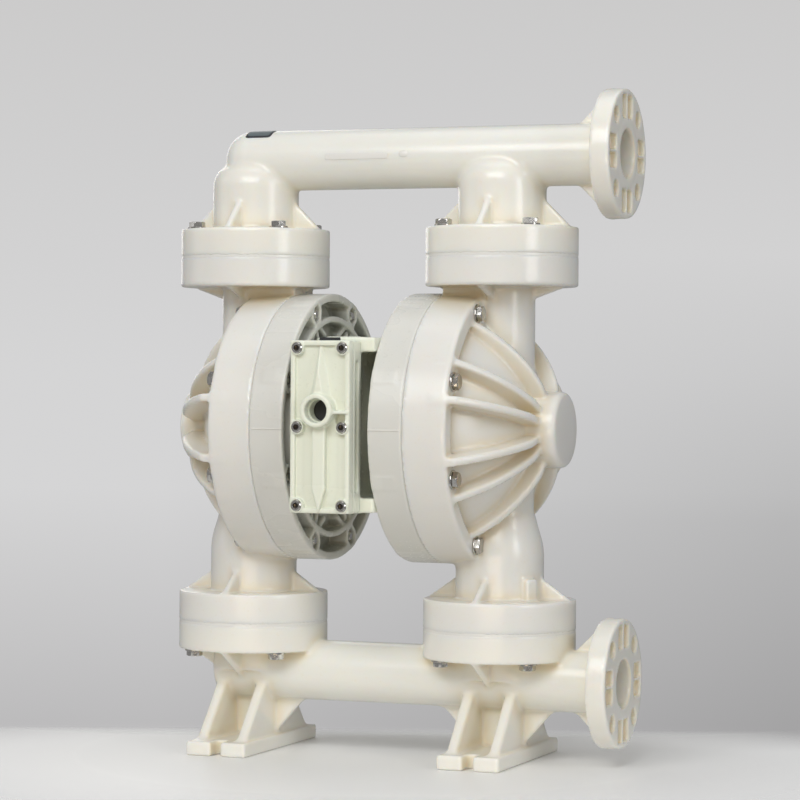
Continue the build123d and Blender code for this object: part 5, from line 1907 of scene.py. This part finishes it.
@dataclass(frozen=True)
class Patch:
    """A low raised shape on a round surface about an axis along X: a plate, a nub or a moulded line."""

    name: str
    finish: str
    node: str
    axis_z: float
    radius: float
    x: tuple[float, float]
    degrees: tuple[float, float]
    rise: float
    power: float = 8.0
    crown: float = 0.0
    bend_x: float = -1e3
    bend_power: float = 2.0

    def _floor(self, x: Array, angle: Array) -> Array:
        """Radius of the surface below, which falls away past bend_x as the elbow's corner does.

        Args:
            x: Places along the axis.
            angle: Angles round it in radians.

        Returns:
            Radii, found by halving the interval between the axis and the straight pipe.
        """
        past, low, high = np.maximum(self.bend_x - x, 0), np.zeros_like(x), np.full_like(x, self.radius)
        for _ in range(24):
            middle, power = (low + high) / 2, self.bend_power
            corner = (past**power + np.abs(middle * np.sin(angle)) ** power) ** (1 / power)
            outside = np.hypot(corner, middle * np.cos(angle)) > self.radius
            low, high = np.where(outside, low, middle), np.where(outside, middle, high)
        return (low + high) / 2

    def build(self, shop: Shop) -> None:
        """Makes the patch: rings of a superellipse, laid on the round surface and closed below it.

        Args:
            shop: Where the piece is dressed.
        """
        c, s, edge = superellipse(72, self.power)
        shares = np.array([0.0, 0.3, 0.6, 0.85, 0.95, 0.985, 1.0, 1.0, 0.0])[:, None]
        tops = np.array([1, 1, 1, 1, 1, 0.85, 0.4, -1.5, -1.5])[:, None] - self.crown * shares**2
        (left, right), (low, high) = self.x, self.degrees
        x = (left + right) / 2 + shares * c * edge * (right - left) / 2
        # The rings run clockwise in x and angle, so that the faces look outwards.
        angle = np.radians((low + high) / 2 - shares * s * edge * (high - low) / 2)
        radius = self._floor(x, angle) + self.rise * tops
        points = np.stack([x, -radius * np.cos(angle), self.axis_z + radius * np.sin(angle)], -1).reshape(-1, 3)
        piece = make_mesh(self.name, points / MM, grid_faces(len(shares), c.size), weld=True, sharp=50)
        shop.dress(piece, self.finish, self.node)


def small_trim(layout: Layout, shop: Shop) -> None:
    """Adds what is too fine for the clay's grid.

    These are the bare plate on the elbow, the bare panel and the gate mark on the pipe, the parting lines of the
    air chambers, and bands in the seams between the chambers' discs and the manifolds' discs.

    Args:
        layout: Places of the pump.
        shop: Where the pieces are dressed.
    """
    plastic, sides = "thin_polypropylene", (Side.RIGHT, Side.LEFT)
    pipe = ("discharge_manifold", layout.discharge_z, DischargeManifold.pipe_r)
    bend = {"bend_x": -layout.riser_x, "bend_power": DischargeManifold.corner_power}
    rows = [Patch("elbow_plate_frame", "dark_plate", *pipe, (-165.2, -131.2), (48.0, 87.0), 0.6, **bend),
            Patch("elbow_plate_face", "slate_plate", *pipe, (-163.0, -133.6), (53.0, 83.0), 0.8, **bend),
            Patch("pipe_bare_panel", plastic, *pipe, (-54.0, 27.0), (-4.0, 8.5), 0.45, power=14.0),
            Patch("pipe_gate_mark", plastic, *pipe, (42.0, 53.0), (-2.0, 11.0), 1.2, power=2.4, crown=0.7)]
    half = math.degrees(0.8 / layout.ring_r)
    for side in sides:
        reach = tuple(sorted((side.sign * (layout.air_x + 0.6), side.sign * (layout.clamp_x - 3.5))))
        ring = (f"air_chamber_{side.value}", layout.shaft_z, layout.ring_r, reach)
        for place, middle in (("front", 0.0), ("back", 180.0)):
            rows.append(Patch(f"parting_line_{side.value}_{place}", plastic, *ring,
                              (middle - half, middle + half), 0.8, power=20.0))
    for row in rows:
        row.build(shop)
    inner, outer, high = LiquidChamber.disc_r - 7.0, LiquidChamber.disc_r - 0.4, 1.8
    band = [(inner, -high), (outer, -high), (outer, high), (inner, high), (inner, -high)]
    for side in sides:
        places = [(side.sign * layout.riser_x, 0.0, seam) for seam in (layout.low_seam, layout.top_seam)]
        points, quads = repeat(*turned(band, 128), [facing((0, 0, 1))] * 2, places)
        piece = make_mesh(f"joint_bands_{side.value}", points / MM, quads, weld=True, sharp=40)
        shop.dress(piece, plastic, f"liquid_chamber_{side.value}")


def main() -> None:
    """Builds the pump's looks round the frame."""
    logging.basicConfig(level=logging.INFO, format="%(name)s: %(message)s")
    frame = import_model()
    record = frame["record"]
    slots = {row["node"]: row["material_slot"] for row in record["subparts"]}
    layout = Layout.from_frame(record)
    effects = Effects()
    finishes = {finish.name: finish.build(effects) for finish in FINISHES}
    shop = Shop(finishes, slots)
    growth = 1.0
    grid = {name: step * growth for name, step in GRID_STEPS.items()}

    Viewpoint().build()
    Studio().build()

    liquid, air = LiquidChamber(layout).sculpt(grid["liquid"]), AirChamber(layout).sculpt(grid["air"])
    for side in Side:
        for node, form, clay, finish in (("liquid_chamber", "casing", liquid, "chamber_polypropylene"),
                                         ("air_chamber", "ring", air, "pale_ring_polypropylene")):
            shop.put(mould(f"{node}_{side.value}_{form}", clay, side), finish, f"{node}_{side.value}")
    discharge = DischargeManifold(layout, layout.discharge_z, layout.top_seam, layout.top_face)
    suction = SuctionManifold(layout, layout.suction_z, layout.low_seam, layout.low_face)
    for name, manifold in (("discharge_manifold", discharge), ("suction_manifold", suction)):
        shop.put(mould(f"{name}_moulding", manifold.sculpt(grid["manifold"])), "manifold_polypropylene", name)

    motor = AirMotor(layout)
    for node, form, sculpt, step in (("center_block", "casting", motor.block, grid["block"]),
                                     ("valve_body", "moulding", motor.body, grid["body"]),
                                     ("valve_cover", "moulding", motor.cover, grid["cover"])):
        shop.put(mould(f"{node}_{form}", sculpt(step)), "green_grey_polypropylene", node)
    motor.gaskets(shop)
    diaphragm = Diaphragm(layout)
    for side in Side:
        diaphragm.build(shop, side)

    fasteners = Fasteners(layout, motor)
    for side in Side:
        fasteners.ring(shop, side)
    fasteners.joints(shop)
    fasteners.cover(shop)
    small_trim(layout, shop)

    for name, node in frame["nodes"].items():
        if not node.hide_render:
            node.data.materials.clear()
            node.data.materials.append(finishes[INNER_FINISHES[slots[name]]])
    bpy.context.scene.view_settings.view_transform = "Standard"


if __name__ == "__main__":
    main()
